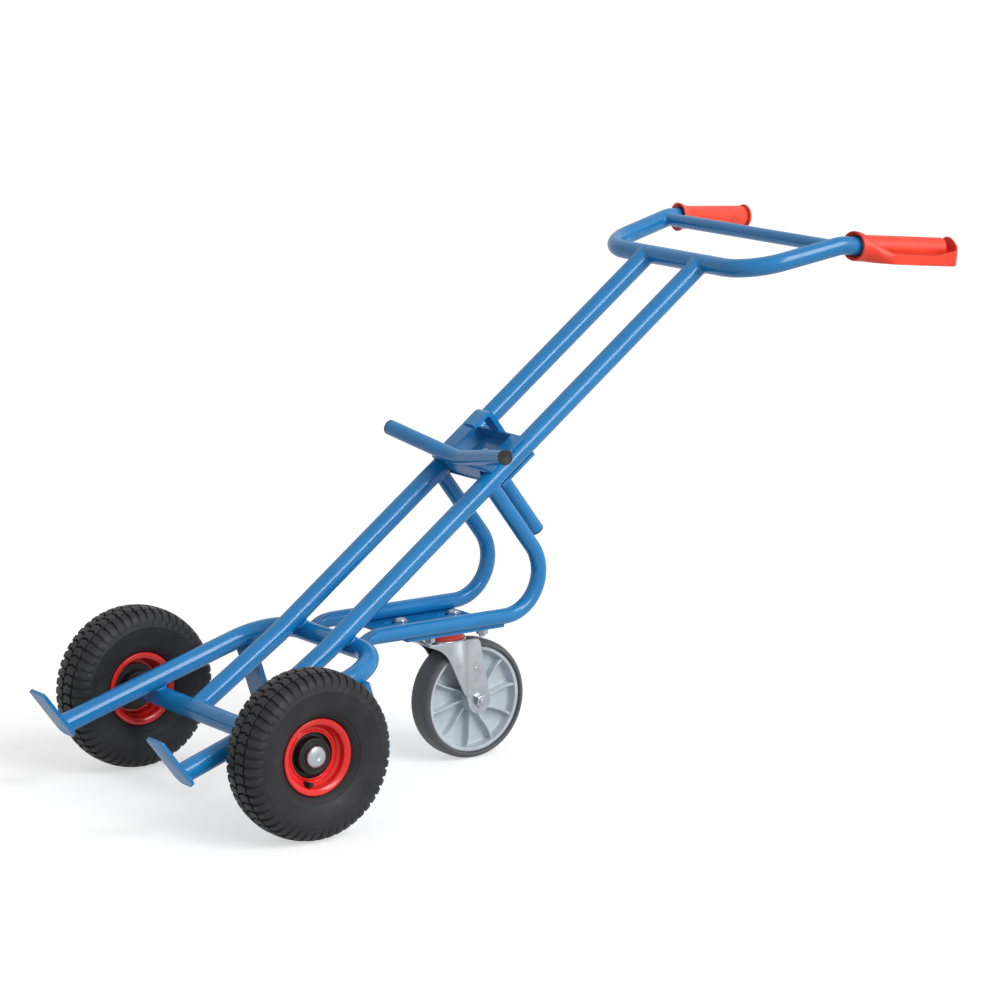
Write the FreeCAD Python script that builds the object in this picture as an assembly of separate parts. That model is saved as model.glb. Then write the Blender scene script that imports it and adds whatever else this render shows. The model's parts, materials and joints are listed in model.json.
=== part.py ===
import FreeCAD, Part
import math
import os

Vec = FreeCAD.Vector

# Drum trolley with two pneumatic wheels, a swivel castor and a sliding rim hook.
# Millimetres and degrees. +X points to the handle, +Z up, the trolley is symmetric about Y = 0.
# Left is -Y. The right-hand pieces are built and the left-hand ones mirrored from them.

# Fits
WELD_GAP = 0.05
FIT_GAP = 0.05
RUNNING_GAP = 0.05
SIDE_GAP = 0.4
SLIDE_GAP = 0.3
SAME_SIZE = 0.01

# Layout of the wheels
AXLE_X = -509.9
TRACK = 514.0
AXLE_DIAMETER = 20.0

# Pneumatic tyre and inner tube
TYRE_DIAMETER = 260.0
TYRE_WIDTH = 82.0
TREAD_WIDTH = 62.0
TREAD_DROP = 6.0
SHOULDER_DROP = 17.0
SHOULDER_BULGE = 0.9
GROOVE_DEPTH = 4.2
CROWN_GROOVE = 3.2
BLOCK_WIDTH = 18.4
RING_GROOVE = 3.3
NOTCH_DEPTH = 3.7
NOTCH_WIDTH = 4.2
NOTCH_COUNT = 52
TYRE_CROWN = 11.5
TYRE_WALL = 6.5
BEAD_WIDTH = 8.0
BEAD_LIP_GAP = 1.0
INNER_TUBE_WALL = 2.0
INNER_TUBE_GAP = 0.8

# Steel rim
RIM_SEAT_RADIUS = 50.0
RIM_LIP_RADIUS = 57.0
RIM_LIP_ROLL = 2.0
RIM_WIDTH = 49.2
RIM_SHEET = 2.0
RIM_WELL_DEPTH = 5.0
RIM_WELL_WIDTH = 18.0
RIM_WEB_OUT = 2.0
RIM_WEB_THICKNESS = 4.0
RIM_COLLAR_WIDTH = 26.0
RIM_COLLAR_WALL = 2.5

# Hub, bearings, valve and axle end pieces
HUB_RADIUS = 26.0
HUB_OUT = 18.0
HUB_IN = 20.0
HUB_BORE_GAP = 1.0
BEARING_RADIUS = 16.0
BEARING_WIDTH = 12.0
VALVE_RADIUS = 4.0
VALVE_ANGLE = -105.0
VALVE_LENGTH = 18.0
VALVE_TILT = 48.0
WASHER_RADIUS = 15.0
WASHER_THICKNESS = 2.5
CAP_RADIUS = 17.0
CAP_THICKNESS = 4.5
CAP_GRIP = 2.5

# Main tubes of the frame
MAIN_OD = 32.0
MAIN_WALL = 2.6
ARM_Y = 178.5
CROSSBAR_X = 204.0
CROSSBAR_BELOW_RUN = 11.66
CROSSBAR_HALF = 161.5
TOE_BEND_RADIUS = 80.0
TOE_TRIM_RATIO = 0.15
STILE_ANGLE = 36.9
STILE_Y = 70.5
STILE_TOP = 864.5
STILE_BEND_BELOW = 37.0
STILE_BEND_RADIUS = 160.0
STILE_FOOT_SETBACK = 5.0
STILE_HEAD_SETBACK = 4.0

# Toe plates and step bars
TOE_DROP = 149.0
TOE_WIDTH = 45.0
TOE_LENGTH = 93.0
TOE_THICKNESS = 6.0
TOE_HEEL = 3.0
TOE_HEEL_ROUND = 14.0
TOE_TIP_ROUND = 3.0
STEP_X = 146.0
STEP_WIDTH = 55.0
STEP_THICKNESS = 8.0
STEP_LENGTH = 110.0
STEP_SADDLE = 9.0

# Castor support tubes and slotted plate
CASTOR_TUBE_OD = 25.0
CASTOR_TUBE_WALL = 2.3
CASTOR_TUBE_JOINT = 341.0
CASTOR_TUBE_BEND = 67.0
BEVEL_ANGLE = 20.0
BEVEL_REACH = 64.0
MOUNT_PLATE_FRONT = 302.0
MOUNT_PLATE_LENGTH = 185.0
MOUNT_PLATE_WIDTH = 144.0
MOUNT_PLATE_THICKNESS = 5.0
SLOT_AHEAD = 24.0
SLOT_BEHIND = 4.0

# Swivel castor
CASTOR_X = 415.0
CASTOR_TRAIL = 50.0
CASTOR_DIAMETER = 195.0
CASTOR_WIDTH = 50.0
CASTOR_TREAD = 11.5
CASTOR_SHOULDER = 8.0
CASTOR_PLATE_LENGTH = 135.0
CASTOR_PLATE_WIDTH = 110.0
CASTOR_PLATE_THICKNESS = 4.0
CASTOR_PLATE_ROUND = 12.0
BOLT_SPACING_X = 102.0
BOLT_SPACING_Y = 80.0
BOLT_DIAMETER = 10.0
BOLT_HOLE_GAP = 0.5
BOLT_HEAD_FLATS = 17.0
BOLT_HEAD_HEIGHT = 6.4
BOLT_END = 4.0
NUT_HEIGHT = 8.0
BOLT_WASHER_RADIUS = 12.0
BOLT_WASHER_THICKNESS = 2.0
KINGPIN_RADIUS = 8.0
KINGPIN_NUT_FLATS = 22.0
KINGPIN_NUT_HEIGHT = 5.0
RACE_INNER_RADIUS = 19.0
RACE_OUTER_RADIUS = 32.0
RACE_HEIGHT = 4.0
BALL_DIAMETER = 10.0
BALL_COUNT = 14
RING_WALL = 3.5
RING_GAP = 0.6
RING_HEIGHT = 14.0
CROWN_CLEARANCE = 1.15
FORK_SHEET = 4.0
FORK_SIDE_GAP = 5.0
FORK_FRONT = 43.0
FORK_TOP_BACK = 53.0
FORK_CROWN_BACK = 28.0
FORK_FRONT_EDGE = [(18.7, 38.0), (35.3, 72.9), (51.1, 89.3)]
FORK_EYE_RADIUS = 21.0
CASTOR_BOLT_RADIUS = 6.0
CASTOR_NUT_FLATS = 19.0
CASTOR_NUT_HEIGHT = 9.0
CASTOR_BOLT_HEAD = 7.0
CASTOR_BOLT_END = 2.0
SPACER_RADIUS = 9.0
BUSH_RADIUS = 13.0
CASTOR_HUB_RADIUS = 21.0
CASTOR_HUB_SIDE_GAP = 1.0
CORE_RING_THICKNESS = 6.0
CORE_RING_WIDTH = 40.0
CORE_WEB_THICKNESS = 5.0
RIB_COUNT = 10
RIB_THICKNESS = 3.2
RIB_WIDTH = 34.0
RIB_SWEEP = 9.0
RIB_ROOT = 1.0

# Handle and grips
HANDLE_OD = 30.0
HANDLE_WALL = 2.5
HANDLE_CORNER_Y = 194.0
HANDLE_BEND_RADIUS = 78.0
HANDLE_LEG_RUN = 164.0
HANDLE_SPLAY = 11.0
HANDLE_RISE = 11.4
GRIP_FALL = 5.0
GRIP_BEND_RADIUS = 60.0
CROSS_TUBE_OD = 22.0
CROSS_TUBE_WALL = 2.0
CROSS_TUBE_RUN = 154.0
CROSS_TUBE_INSET = 6.0
GRIP_START = 19.0
GRIP_LENGTH = 168.0
GRIP_WALL = 3.6
GRIP_END_WALL = 4.0
COLLAR_FLARE = 5.5
COLLAR_LENGTH = 24.0
GUARD_SHEET = 3.0
GUARD_GAP = 18.0
GUARD_DROP = 26.0
GUARD_RISE = 18.0
GUARD_DIP = 2.0
GUARD_END_RISE = 13.0
GUARD_OVERHANG = 12.0
GUARD_CORNER = 12.0

# Sliding rim hook, measured along and off the stiles
SHEET = 3.0
CARRIAGE_LOW = 347.5
CARRIAGE_LENGTH = 83.0
CARRIAGE_FLANGE_REACH = 12.0
CARRIAGE_CORNER = 7.0
TRAY_TOP_HALF = 52.0
TRAY_BOTTOM_HALF = 40.0
TRAY_BOTTOM = -4.0
HOOK_WIDTH = 28.0
HOOK_THICKNESS = 8.0
HOOK_HEIGHT = 60.0
HOOK_LIP = 40.0
HOOK_BEND_RADIUS = 9.0
CRADLE_OD = 25.0
CRADLE_WALL = 2.3
CRADLE_HALF = 159.0
CRADLE_ANGLE = 12.4
CRADLE_BEND_RADIUS = 70.0
PLUG_FLANGE = 3.0
PLUG_LENGTH = 12.0
CLAMP_PLATE_LENGTH = 77.0
CLAMP_PLATE_HALF = 78.0
CLAMP_PLATE_THICKNESS = 5.0
CLAMP_PLATE_BACKSET = 1.0
CLAMP_BOLT_RADIUS = 6.0
CLAMP_BOLT_HEAD_RADIUS = 12.0
CLAMP_BOLT_HEAD_HEIGHT = 6.0
CLAMP_BOLT_LENGTH = 60.0
CLAMP_NUT_LENGTH = 24.0
HANDLE_TUBE_LENGTH = 146.0

# Derived places
AXLE_Z = TYRE_DIAMETER / 2
AXLE = Vec(AXLE_X, 0, AXLE_Z)
CROWN_TOP = CASTOR_DIAMETER + CROWN_CLEARANCE + FORK_SHEET
CASTOR_TOP = CROWN_TOP + 2 * RACE_HEIGHT + BALL_DIAMETER + SLIDE_GAP + CASTOR_PLATE_THICKNESS
MOUNT_PLATE_TOP = CASTOR_TOP + MOUNT_PLATE_THICKNESS
CASTOR_RUN_Z = MOUNT_PLATE_TOP + WELD_GAP + CASTOR_TUBE_OD / 2
MAIN_RADIUS = MAIN_OD / 2
CROSSBAR = Vec(AXLE_X + CROSSBAR_X, 0, CASTOR_RUN_Z - CROSSBAR_BELOW_RUN)


def arm_slope():
    """Slope of the toe frame's arms, which lie on top of the axle tube and end at the crossbar."""
    rise = CROSSBAR.z - AXLE_Z
    return math.acos((MAIN_OD + WELD_GAP) / math.hypot(rise, CROSSBAR_X)) - math.atan2(CROSSBAR_X, rise)


ARM = arm_slope()
STILE = math.radians(STILE_ANGLE)
ALONG_ARM = Vec(math.cos(ARM), 0, math.sin(ARM))
ALONG_STILE = Vec(math.cos(STILE), 0, math.sin(STILE))
OFF_STILE = Vec(-math.sin(STILE), 0, math.cos(STILE))
STILE_SEAT = CROSSBAR + OFF_STILE * (MAIN_OD + WELD_GAP)
STILE_FRAME = FreeCAD.Placement(STILE_SEAT, FreeCAD.Rotation(Vec(0, 1, 0), -STILE_ANGLE))


def on_stile(along, off, across=0.0):
    """Point given along the stiles from the crossbar, off their centre plane and across the trolley."""
    return STILE_SEAT + ALONG_STILE * along + OFF_STILE * off + Vec(0, across, 0)


TOE_PLANE = (AXLE - STILE_SEAT).dot(ALONG_STILE) - TOE_DROP
ARM_CORNER = CROSSBAR + Vec(0, CROSSBAR_HALF, 0)
ARM_TRAVEL = ((CROSSBAR - STILE_SEAT).dot(ALONG_STILE) - TOE_PLANE) / ALONG_ARM.dot(ALONG_STILE)
ARM_TIP = CROSSBAR - ALONG_ARM * ARM_TRAVEL + Vec(0, ARM_Y, 0)
HANDLE_FRONT = on_stile(STILE_TOP, 0)
KINGPIN = Vec(AXLE_X + CASTOR_X, 0, 0)
CASTOR_AXLE = Vec(AXLE_X + CASTOR_X + CASTOR_TRAIL, 0, CASTOR_DIAMETER / 2)
FORK_INSIDE = CASTOR_WIDTH / 2 + FORK_SIDE_GAP
FORK_OUTSIDE = FORK_INSIDE + FORK_SHEET
CORE_RADIUS = CASTOR_DIAMETER / 2 - CASTOR_TREAD
FLANGE_BOTTOM = MAIN_RADIUS + SLIDE_GAP
FLANGE_TOP = FLANGE_BOTTOM + SHEET
CARRIAGE_HIGH = CARRIAGE_LOW + CARRIAGE_LENGTH
CLAMP_LOW = CASTOR_TUBE_JOINT + CASTOR_TUBE_OD / 2 + CLAMP_PLATE_BACKSET
CLAMP_MIDDLE = CLAMP_LOW + CLAMP_PLATE_LENGTH / 2
CLAMP_BOTTOM = -FLANGE_BOTTOM - CLAMP_PLATE_THICKNESS


# Helpers
def bent_path(points, bend_radii):
    """Straight runs joined by round bends, as one wire."""
    edges = []
    start = points[0]
    for before, corner, after, radius in zip(points, points[1:], points[2:], bend_radii):
        back = (before - corner).normalize()
        onward = (after - corner).normalize()
        half_angle = back.getAngle(onward) / 2
        setback = radius / math.tan(half_angle)
        inward = (back + onward).normalize()
        centre = corner + inward * (radius / math.sin(half_angle))
        bend_start = corner + back * setback
        bend_end = corner + onward * setback
        edges.append(Part.makeLine(start, bend_start))
        edges.append(Part.Arc(bend_start, centre - inward * radius, bend_end).toShape())
        start = bend_end
    edges.append(Part.makeLine(start, points[-1]))
    return Part.Wire(edges)


def round_bar(path, radius):
    """Solid of round section along a wire."""
    first = path.OrderedEdges[0]
    start = first.FirstParameter
    circle = Part.makeCircle(radius, first.valueAt(start), first.tangentAt(start))
    return path.makePipeShell([Part.Wire(circle)], True, True)


def flat_bar(path, width, thickness, across):
    """Solid of rectangular section along a flat wire; across is the direction of its width."""
    first = path.OrderedEdges[0]
    start = first.valueAt(first.FirstParameter)
    side = first.tangentAt(first.FirstParameter).cross(across).normalize() * (thickness / 2)
    half = Vec(across) * (width / 2)
    corners = [start + side + half, start + side - half, start - side - half, start - side + half]
    outline = Part.makePolygon(corners + corners[:1])
    return path.makePipeShell([outline], True, False)


def pipe(path, outside, wall):
    """Hollow tube along a wire."""
    return round_bar(path, outside / 2).cut(round_bar(path, outside / 2 - wall))


def rod(radius, start, end):
    """Round rod between two points."""
    return Part.makeCylinder(radius, (end - start).Length, start, end - start)


def sleeve(outside, inside, start, end):
    """Straight sleeve between two points."""
    return rod(outside, start, end).cut(rod(inside, start, end))


def block(low, high):
    """Box between two corners."""
    size = high - low
    return Part.makeBox(size.x, size.y, size.z, low)


def hexagon(flats, height):
    """Six-sided prism standing on the XY plane."""
    reach = flats / 2 / math.cos(math.pi / 6)
    corners = [Vec(reach * math.cos(k * math.pi / 3), reach * math.sin(k * math.pi / 3), 0) for k in range(7)]
    return Part.Face(Part.makePolygon(corners)).extrude(Vec(0, 0, height))


def turned(profile):
    """Solid turned about the Y axis from a closed outline of (radius, along) points."""
    corners = [Vec(radius, along, 0) for radius, along in profile]
    face = Part.Face(Part.makePolygon(corners + corners[:1]))
    return face.revolve(Vec(0, 0, 0), Vec(0, 1, 0), 360)


def smooth(points, closed=False):
    """Smooth curve through (radius, along) points in the XY plane."""
    curve = Part.BSplineCurve()
    curve.interpolate([Vec(radius, along, 0) for radius, along in points], PeriodicFlag=closed)
    return curve.toShape()


def both_ways(half):
    """Outline points on one side of the wheel's middle plane, carried on to the other side."""
    return [(radius, -along) for radius, along in reversed(half)] + half[1:]


def moved(shape, placement):
    """Copy of a shape put in another frame."""
    copy = shape.copy()
    copy.Placement = placement.multiply(copy.Placement)
    return copy


def shifted(shape, offset):
    """Copy of a shape moved by a vector."""
    return moved(shape, FreeCAD.Placement(offset, FreeCAD.Rotation()))


def mirrored(shape):
    """The left-hand copy of a right-hand piece."""
    return shape.mirror(Vec(0, 0, 0), Vec(0, 1, 0))


def other_side(point):
    """The same point on the trolley's other side."""
    return Vec(point.x, -point.y, point.z)


def at_wheel(shape):
    """Put a piece that was turned about the origin on the right wheel's centre."""
    return shifted(shape, Vec(AXLE_X, TRACK / 2, AXLE_Z))


# Main frame
def toe_path():
    """Right toe, rear crossbar and left toe; the arms run a little past the toes and are trimmed there."""
    end = ARM_CORNER + (ARM_TIP - ARM_CORNER) * (1 + TOE_TRIM_RATIO)
    points = [end, ARM_CORNER, other_side(ARM_CORNER), other_side(end)]
    return bent_path(points, [TOE_BEND_RADIUS] * 2)


def beyond_toe_plane():
    """Everything in front of the toe plates' load faces."""
    reach = TOE_DROP + TOE_LENGTH + MAIN_OD
    low = Vec(TOE_PLANE - 2 * reach, -2 * ARM_Y, -4 * reach)
    high = Vec(TOE_PLANE, 2 * ARM_Y, 4 * reach)
    return moved(block(low, high), STILE_FRAME)


def toe_frame():
    return pipe(toe_path(), MAIN_OD, MAIN_WALL).cut(beyond_toe_plane())


def axle_tube_half():
    """Half length of the axle tube, up to the washer beside the hub."""
    return TRACK / 2 - HUB_IN - SIDE_GAP - WASHER_THICKNESS


def axle_tube():
    end = Vec(0, axle_tube_half(), 0)
    return sleeve(MAIN_RADIUS, AXLE_DIAMETER / 2 + FIT_GAP, AXLE - end, AXLE + end)


def stile_path():
    bend = on_stile(-STILE_BEND_BELOW, 0, STILE_Y)
    axle = AXLE + Vec(0, STILE_Y, 0)
    foot = axle + (bend - axle).normalize() * STILE_FOOT_SETBACK
    head = on_stile(STILE_TOP - STILE_HEAD_SETBACK, 0, STILE_Y)
    return bent_path([foot, bend, head], [STILE_BEND_RADIUS])


def stile():
    axle_solid = rod(MAIN_RADIUS + WELD_GAP, AXLE, AXLE + Vec(0, 2 * STILE_Y, 0))
    handle_solid = rod(HANDLE_OD / 2 + WELD_GAP, HANDLE_FRONT, HANDLE_FRONT + Vec(0, 2 * STILE_Y, 0))
    return pipe(stile_path(), MAIN_OD, MAIN_WALL).cut(axle_solid).cut(handle_solid)


def corner_edges(plate, level):
    """The short edges through a toe plate's thickness at one end of its length."""
    short = [edge for edge in plate.Edges if abs(edge.Length - TOE_THICKNESS) < SAME_SIZE]
    return [edge for edge in short if abs(edge.CenterOfMass.z - level) < SAME_SIZE]


def toe_plate():
    arm_end = (ARM_TIP - STILE_SEAT).dot(OFF_STILE)
    heel = arm_end - MAIN_RADIUS / math.cos(STILE - ARM) - TOE_HEEL
    low = Vec(TOE_PLANE - WELD_GAP - TOE_THICKNESS, ARM_Y - TOE_WIDTH / 2, heel)
    plate = block(low, low + Vec(TOE_THICKNESS, TOE_WIDTH, TOE_LENGTH))
    plate = plate.makeFillet(TOE_HEEL_ROUND, corner_edges(plate, heel))
    plate = plate.makeFillet(TOE_TIP_ROUND, corner_edges(plate, heel + TOE_LENGTH))
    return moved(plate, STILE_FRAME)


def step_bar():
    """Flat bar hung square under the toe frame, saddled on its tube."""
    share = (ARM_CORNER.x - AXLE_X - STEP_X) / (ARM_CORNER.x - ARM_TIP.x)
    seat = ARM_CORNER + (ARM_TIP - ARM_CORNER) * share
    half = Vec(STEP_THICKNESS / 2, STEP_WIDTH / 2, 0)
    bar = block(Vec(0, 0, -MAIN_RADIUS - STEP_LENGTH) - half, Vec(0, 0, STEP_SADDLE - MAIN_RADIUS) + half)
    bar = moved(bar, FreeCAD.Placement(seat, FreeCAD.Rotation(Vec(0, 1, 0), -math.degrees(ARM))))
    return bar.cut(round_bar(toe_path(), MAIN_RADIUS + WELD_GAP))


def castor_tube_path():
    head = on_stile(CASTOR_TUBE_JOINT, -MAIN_RADIUS / 2, STILE_Y)
    drop = (head.z - CASTOR_RUN_Z) / OFF_STILE.z
    corner = head - OFF_STILE * drop
    front = Vec(CROSSBAR.x, STILE_Y, CASTOR_RUN_Z)
    return bent_path([head, corner, front], [CASTOR_TUBE_BEND])


def above_bevel(depth):
    """Everything above the slanting cut at the front of a castor tube, sunk by a depth."""
    reach = 4 * BEVEL_REACH
    start = Vec(CROSSBAR.x + BEVEL_REACH, STILE_Y, CASTOR_RUN_Z + CASTOR_TUBE_OD / 2)
    frame = FreeCAD.Placement(start, FreeCAD.Rotation(Vec(0, 1, 0), -BEVEL_ANGLE))
    wedge = block(Vec(-reach, -CASTOR_TUBE_OD, -depth), Vec(reach / 8, CASTOR_TUBE_OD, reach / 2))
    return moved(wedge, frame)


def castor_tube():
    path = castor_tube_path()
    outside = round_bar(path, CASTOR_TUBE_OD / 2)
    bore = round_bar(path, CASTOR_TUBE_OD / 2 - CASTOR_TUBE_WALL)
    zone_end = CROSSBAR + Vec(BEVEL_REACH + CASTOR_TUBE_OD, 2 * STILE_Y, 0)
    zone_end.z = CASTOR_RUN_Z + CASTOR_TUBE_OD
    front_zone = block(Vec(CROSSBAR.x - CASTOR_TUBE_OD, 0, 0), zone_end)
    tube = outside.cut(above_bevel(0).common(front_zone))
    tube = tube.cut(bore.cut(above_bevel(CASTOR_TUBE_WALL).common(front_zone)))
    crossbar_solid = rod(MAIN_RADIUS + WELD_GAP, CROSSBAR, CROSSBAR + Vec(0, 2 * STILE_Y, 0))
    return tube.cut(crossbar_solid).cut(round_bar(stile_path(), MAIN_RADIUS + WELD_GAP))


def bolt_places(z):
    """The four castor bolts in plan, at one height."""
    places = []
    for x_sign in (-1, 1):
        for y_sign in (-1, 1):
            places.append(KINGPIN + Vec(x_sign * BOLT_SPACING_X / 2, y_sign * BOLT_SPACING_Y / 2, z))
    return places


def castor_mount_plate():
    low = Vec(AXLE_X + MOUNT_PLATE_FRONT, -MOUNT_PLATE_WIDTH / 2, CASTOR_TOP)
    plate = block(low, low + Vec(MOUNT_PLATE_LENGTH, MOUNT_PLATE_WIDTH, MOUNT_PLATE_THICKNESS))
    radius = BOLT_DIAMETER / 2 + BOLT_HOLE_GAP
    for place in bolt_places(CASTOR_TOP):
        up = Vec(0, 0, MOUNT_PLATE_THICKNESS)
        front = place - Vec(SLOT_AHEAD, 0, 0)
        back = place + Vec(SLOT_BEHIND, 0, 0)
        side = Vec(0, radius, 0)
        slot = rod(radius, front, front + up).fuse(rod(radius, back, back + up))
        plate = plate.cut(slot.fuse(block(front - side, back + side + up)))
    return plate


# Handle
def handle_points():
    """Right-hand end, bends and the matching left-hand ones."""
    splay = math.tan(math.radians(HANDLE_SPLAY))
    corner = HANDLE_FRONT + Vec(0, HANDLE_CORNER_Y, 0)
    leg = Vec(1, splay, math.tan(math.radians(HANDLE_RISE))) * HANDLE_LEG_RUN
    grip = Vec(1, splay, -math.tan(math.radians(GRIP_FALL))).normalize()
    tube_end = GRIP_START + GRIP_LENGTH - GRIP_END_WALL
    right = [corner + leg + grip * tube_end, corner + leg, corner]
    return right + [other_side(point) for point in reversed(right)]


def handle_path():
    bends = [GRIP_BEND_RADIUS, HANDLE_BEND_RADIUS, HANDLE_BEND_RADIUS, GRIP_BEND_RADIUS]
    return bent_path(handle_points(), bends)


def handle_frame():
    return pipe(handle_path(), HANDLE_OD, HANDLE_WALL)


def handle_cross_tube():
    corner = handle_points()[2]
    leg = (handle_points()[1] - corner) * (CROSS_TUBE_RUN / HANDLE_LEG_RUN)
    end = corner + leg - Vec(0, CROSS_TUBE_INSET, 0)
    tube = sleeve(CROSS_TUBE_OD / 2, CROSS_TUBE_OD / 2 - CROSS_TUBE_WALL, end, other_side(end))
    return tube.cut(round_bar(handle_path(), HANDLE_OD / 2 + WELD_GAP))


def grip_body():
    """Sleeve with a flared collar and a closed end, turned about the tube's line."""
    bore = HANDLE_OD / 2 + FIT_GAP
    outside = bore + GRIP_WALL
    flare = outside + COLLAR_FLARE
    inner_end = GRIP_LENGTH - GRIP_END_WALL + FIT_GAP
    profile = [(bore, 0), (flare, 0), (flare, GUARD_SHEET), (outside + COLLAR_FLARE / 3, COLLAR_LENGTH / 2),
               (outside, COLLAR_LENGTH), (outside, GRIP_LENGTH), (0, GRIP_LENGTH), (0, inner_end),
               (bore, inner_end)]
    return turned(profile)


def grip_guard():
    """Knuckle guard beside the grip: a band that leaves the collar and closes round the end."""
    outside = HANDLE_OD / 2 + FIT_GAP + GRIP_WALL
    side = outside + GUARD_GAP
    end = GRIP_LENGTH + GUARD_OVERHANG
    plan = [Vec(outside - GUARD_SHEET, 0, 0), Vec(side, COLLAR_LENGTH * 1.5, 0), Vec(side, end, 0),
            Vec(-outside / 2, end, 0), Vec(-outside / 2, GRIP_LENGTH - GUARD_SHEET, 0)]
    path = bent_path(plan, [GUARD_CORNER, GUARD_CORNER, GUARD_CORNER * 0.75])
    band = flat_bar(path, 4 * outside, GUARD_SHEET, Vec(0, 0, 1))
    top = [(0, GUARD_RISE), (COLLAR_LENGTH * 0.6, GUARD_RISE * 0.7), (COLLAR_LENGTH * 1.6, GUARD_DIP),
           (COLLAR_LENGTH * 2.6, -GUARD_DIP), (GRIP_LENGTH - COLLAR_LENGTH, -GUARD_DIP),
           (GRIP_LENGTH - GUARD_DIP, GUARD_END_RISE * 0.6), (end + GUARD_SHEET, GUARD_END_RISE)]
    edge = [Vec(-2 * outside, along, height) for along, height in top]
    shape = Part.BSplineCurve()
    shape.interpolate(edge)
    collar_low = -COLLAR_FLARE - outside
    bottom = [Vec(-2 * outside, end + GUARD_SHEET, -GUARD_DROP), Vec(-2 * outside, 0, collar_low)]
    outline = Part.Wire([shape.toShape(), Part.makeLine(edge[-1], bottom[0]), Part.makeLine(*bottom),
                         Part.makeLine(bottom[1], edge[0])])
    side_view = Part.Face(outline).extrude(Vec(6 * outside, 0, 0))
    return band.common(side_view)


def grip():
    """Built on the left end, with local X outward, local Y along the tube and local Z up, then mirrored."""
    bend, end = handle_points()[-2:]
    along = (end - bend).normalize()
    outward = along.cross(Vec(0, 0, 1)).normalize()
    up = outward.cross(along)
    frame = FreeCAD.Placement(bend + along * GRIP_START, FreeCAD.Rotation(outward, along, up, "YXZ"))
    bore = rod(HANDLE_OD / 2 + FIT_GAP, Vec(0, 0, 0), Vec(0, GRIP_LENGTH - GRIP_END_WALL + FIT_GAP, 0))
    return mirrored(moved(grip_body().fuse(grip_guard().cut(bore)).removeSplitter(), frame))


# Axle and its end pieces
def axle_half():
    """Half length of the axle, which ends inside the caps."""
    return TRACK / 2 + HUB_OUT + SIDE_GAP + CAP_GRIP


def wheel_axle():
    end = Vec(0, axle_half(), 0)
    return rod(AXLE_DIAMETER / 2, AXLE - end, AXLE + end)


def axle_washers():
    start = AXLE + Vec(0, axle_tube_half(), 0)
    washer = sleeve(WASHER_RADIUS, AXLE_DIAMETER / 2 + FIT_GAP, start, start + Vec(0, WASHER_THICKNESS, 0))
    return Part.makeCompound([washer, mirrored(washer)])


def axle_caps():
    start = TRACK / 2 + HUB_OUT + SIDE_GAP
    shaft = AXLE_DIAMETER / 2 + FIT_GAP
    edge = CAP_THICKNESS * 0.6
    profile = [(shaft, 0), (CAP_RADIUS, 0), (CAP_RADIUS, edge), (CAP_RADIUS * 0.8, CAP_THICKNESS),
               (0, CAP_THICKNESS), (0, CAP_GRIP + FIT_GAP), (shaft, CAP_GRIP + FIT_GAP)]
    cap = shifted(turned(profile), Vec(AXLE_X, start, AXLE_Z))
    return Part.makeCompound([cap, mirrored(cap)])


# Pneumatic wheel, built for the right side
RIM_HALF = RIM_WIDTH / 2
FLANGE_IN = RIM_HALF - RIM_SHEET
TYRE_RADIUS = TYRE_DIAMETER / 2
TYRE_HALF = TYRE_WIDTH / 2
TYRE_BELLY = (TYRE_RADIUS + RIM_LIP_RADIUS) / 2
SHOULDER_FOOT = TYRE_RADIUS - SHOULDER_DROP
SHOULDER_HALF = TYRE_HALF - TREAD_DROP / 3
BLOCK_EDGE = CROWN_GROOVE / 2 + BLOCK_WIDTH
RIB_EDGE = BLOCK_EDGE + RING_GROOVE


def tread_height(along):
    """Radius of the crowned tread at a distance from the wheel's middle plane."""
    return TYRE_RADIUS - TREAD_DROP * (2 * along / TREAD_WIDTH) ** 2


def tyre_tread():
    """Half of the tread: crown groove, block row, ring groove, then the shoulder down to its foot."""
    floor = tread_height(RIB_EDGE) - GROOVE_DEPTH
    edge = TYRE_RADIUS - TREAD_DROP
    bulge = ((edge + SHOULDER_FOOT) / 2 + SHOULDER_BULGE,
             (TREAD_WIDTH / 2 + SHOULDER_HALF) / 2 + SHOULDER_BULGE)
    return [(TYRE_RADIUS - GROOVE_DEPTH, 0), (TYRE_RADIUS - GROOVE_DEPTH, CROWN_GROOVE / 2),
            (TYRE_RADIUS, CROWN_GROOVE / 2), (tread_height(BLOCK_EDGE), BLOCK_EDGE), (floor, BLOCK_EDGE),
            (floor, RIB_EDGE), (tread_height(RIB_EDGE), RIB_EDGE), (edge, TREAD_WIDTH / 2), bulge,
            (SHOULDER_FOOT, SHOULDER_HALF)]


def tyre_sidewall():
    """Outside of the tyre from the shoulder's foot to the rim lip."""
    lip = RIM_LIP_RADIUS + RIM_LIP_ROLL
    return [(SHOULDER_FOOT, SHOULDER_HALF), (TYRE_BELLY, TYRE_HALF),
            (lip + SHOULDER_DROP * 0.8, TYRE_HALF - TREAD_DROP), (lip + BEAD_LIP_GAP, RIM_HALF)]


def tread_notch():
    """Cutter for one notch, from the crown groove across the block row and out through the shoulder."""
    start = Vec(tread_height(RIB_EDGE) - NOTCH_DEPTH, RIB_EDGE, -NOTCH_WIDTH / 2)
    foot = Vec(SHOULDER_FOOT + 2 * SHOULDER_BULGE, SHOULDER_HALF - SHOULDER_BULGE, -NOTCH_WIDTH / 2)
    out = foot + (foot - start) * 0.2
    clear = TYRE_RADIUS + NOTCH_DEPTH
    corners = [Vec(TYRE_RADIUS - NOTCH_DEPTH, 0, start.z), start, out, Vec(clear, out.y, start.z),
               Vec(clear, 0, start.z)]
    return Part.Face(Part.makePolygon(corners + corners[:1])).extrude(Vec(0, 0, NOTCH_WIDTH))


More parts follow.
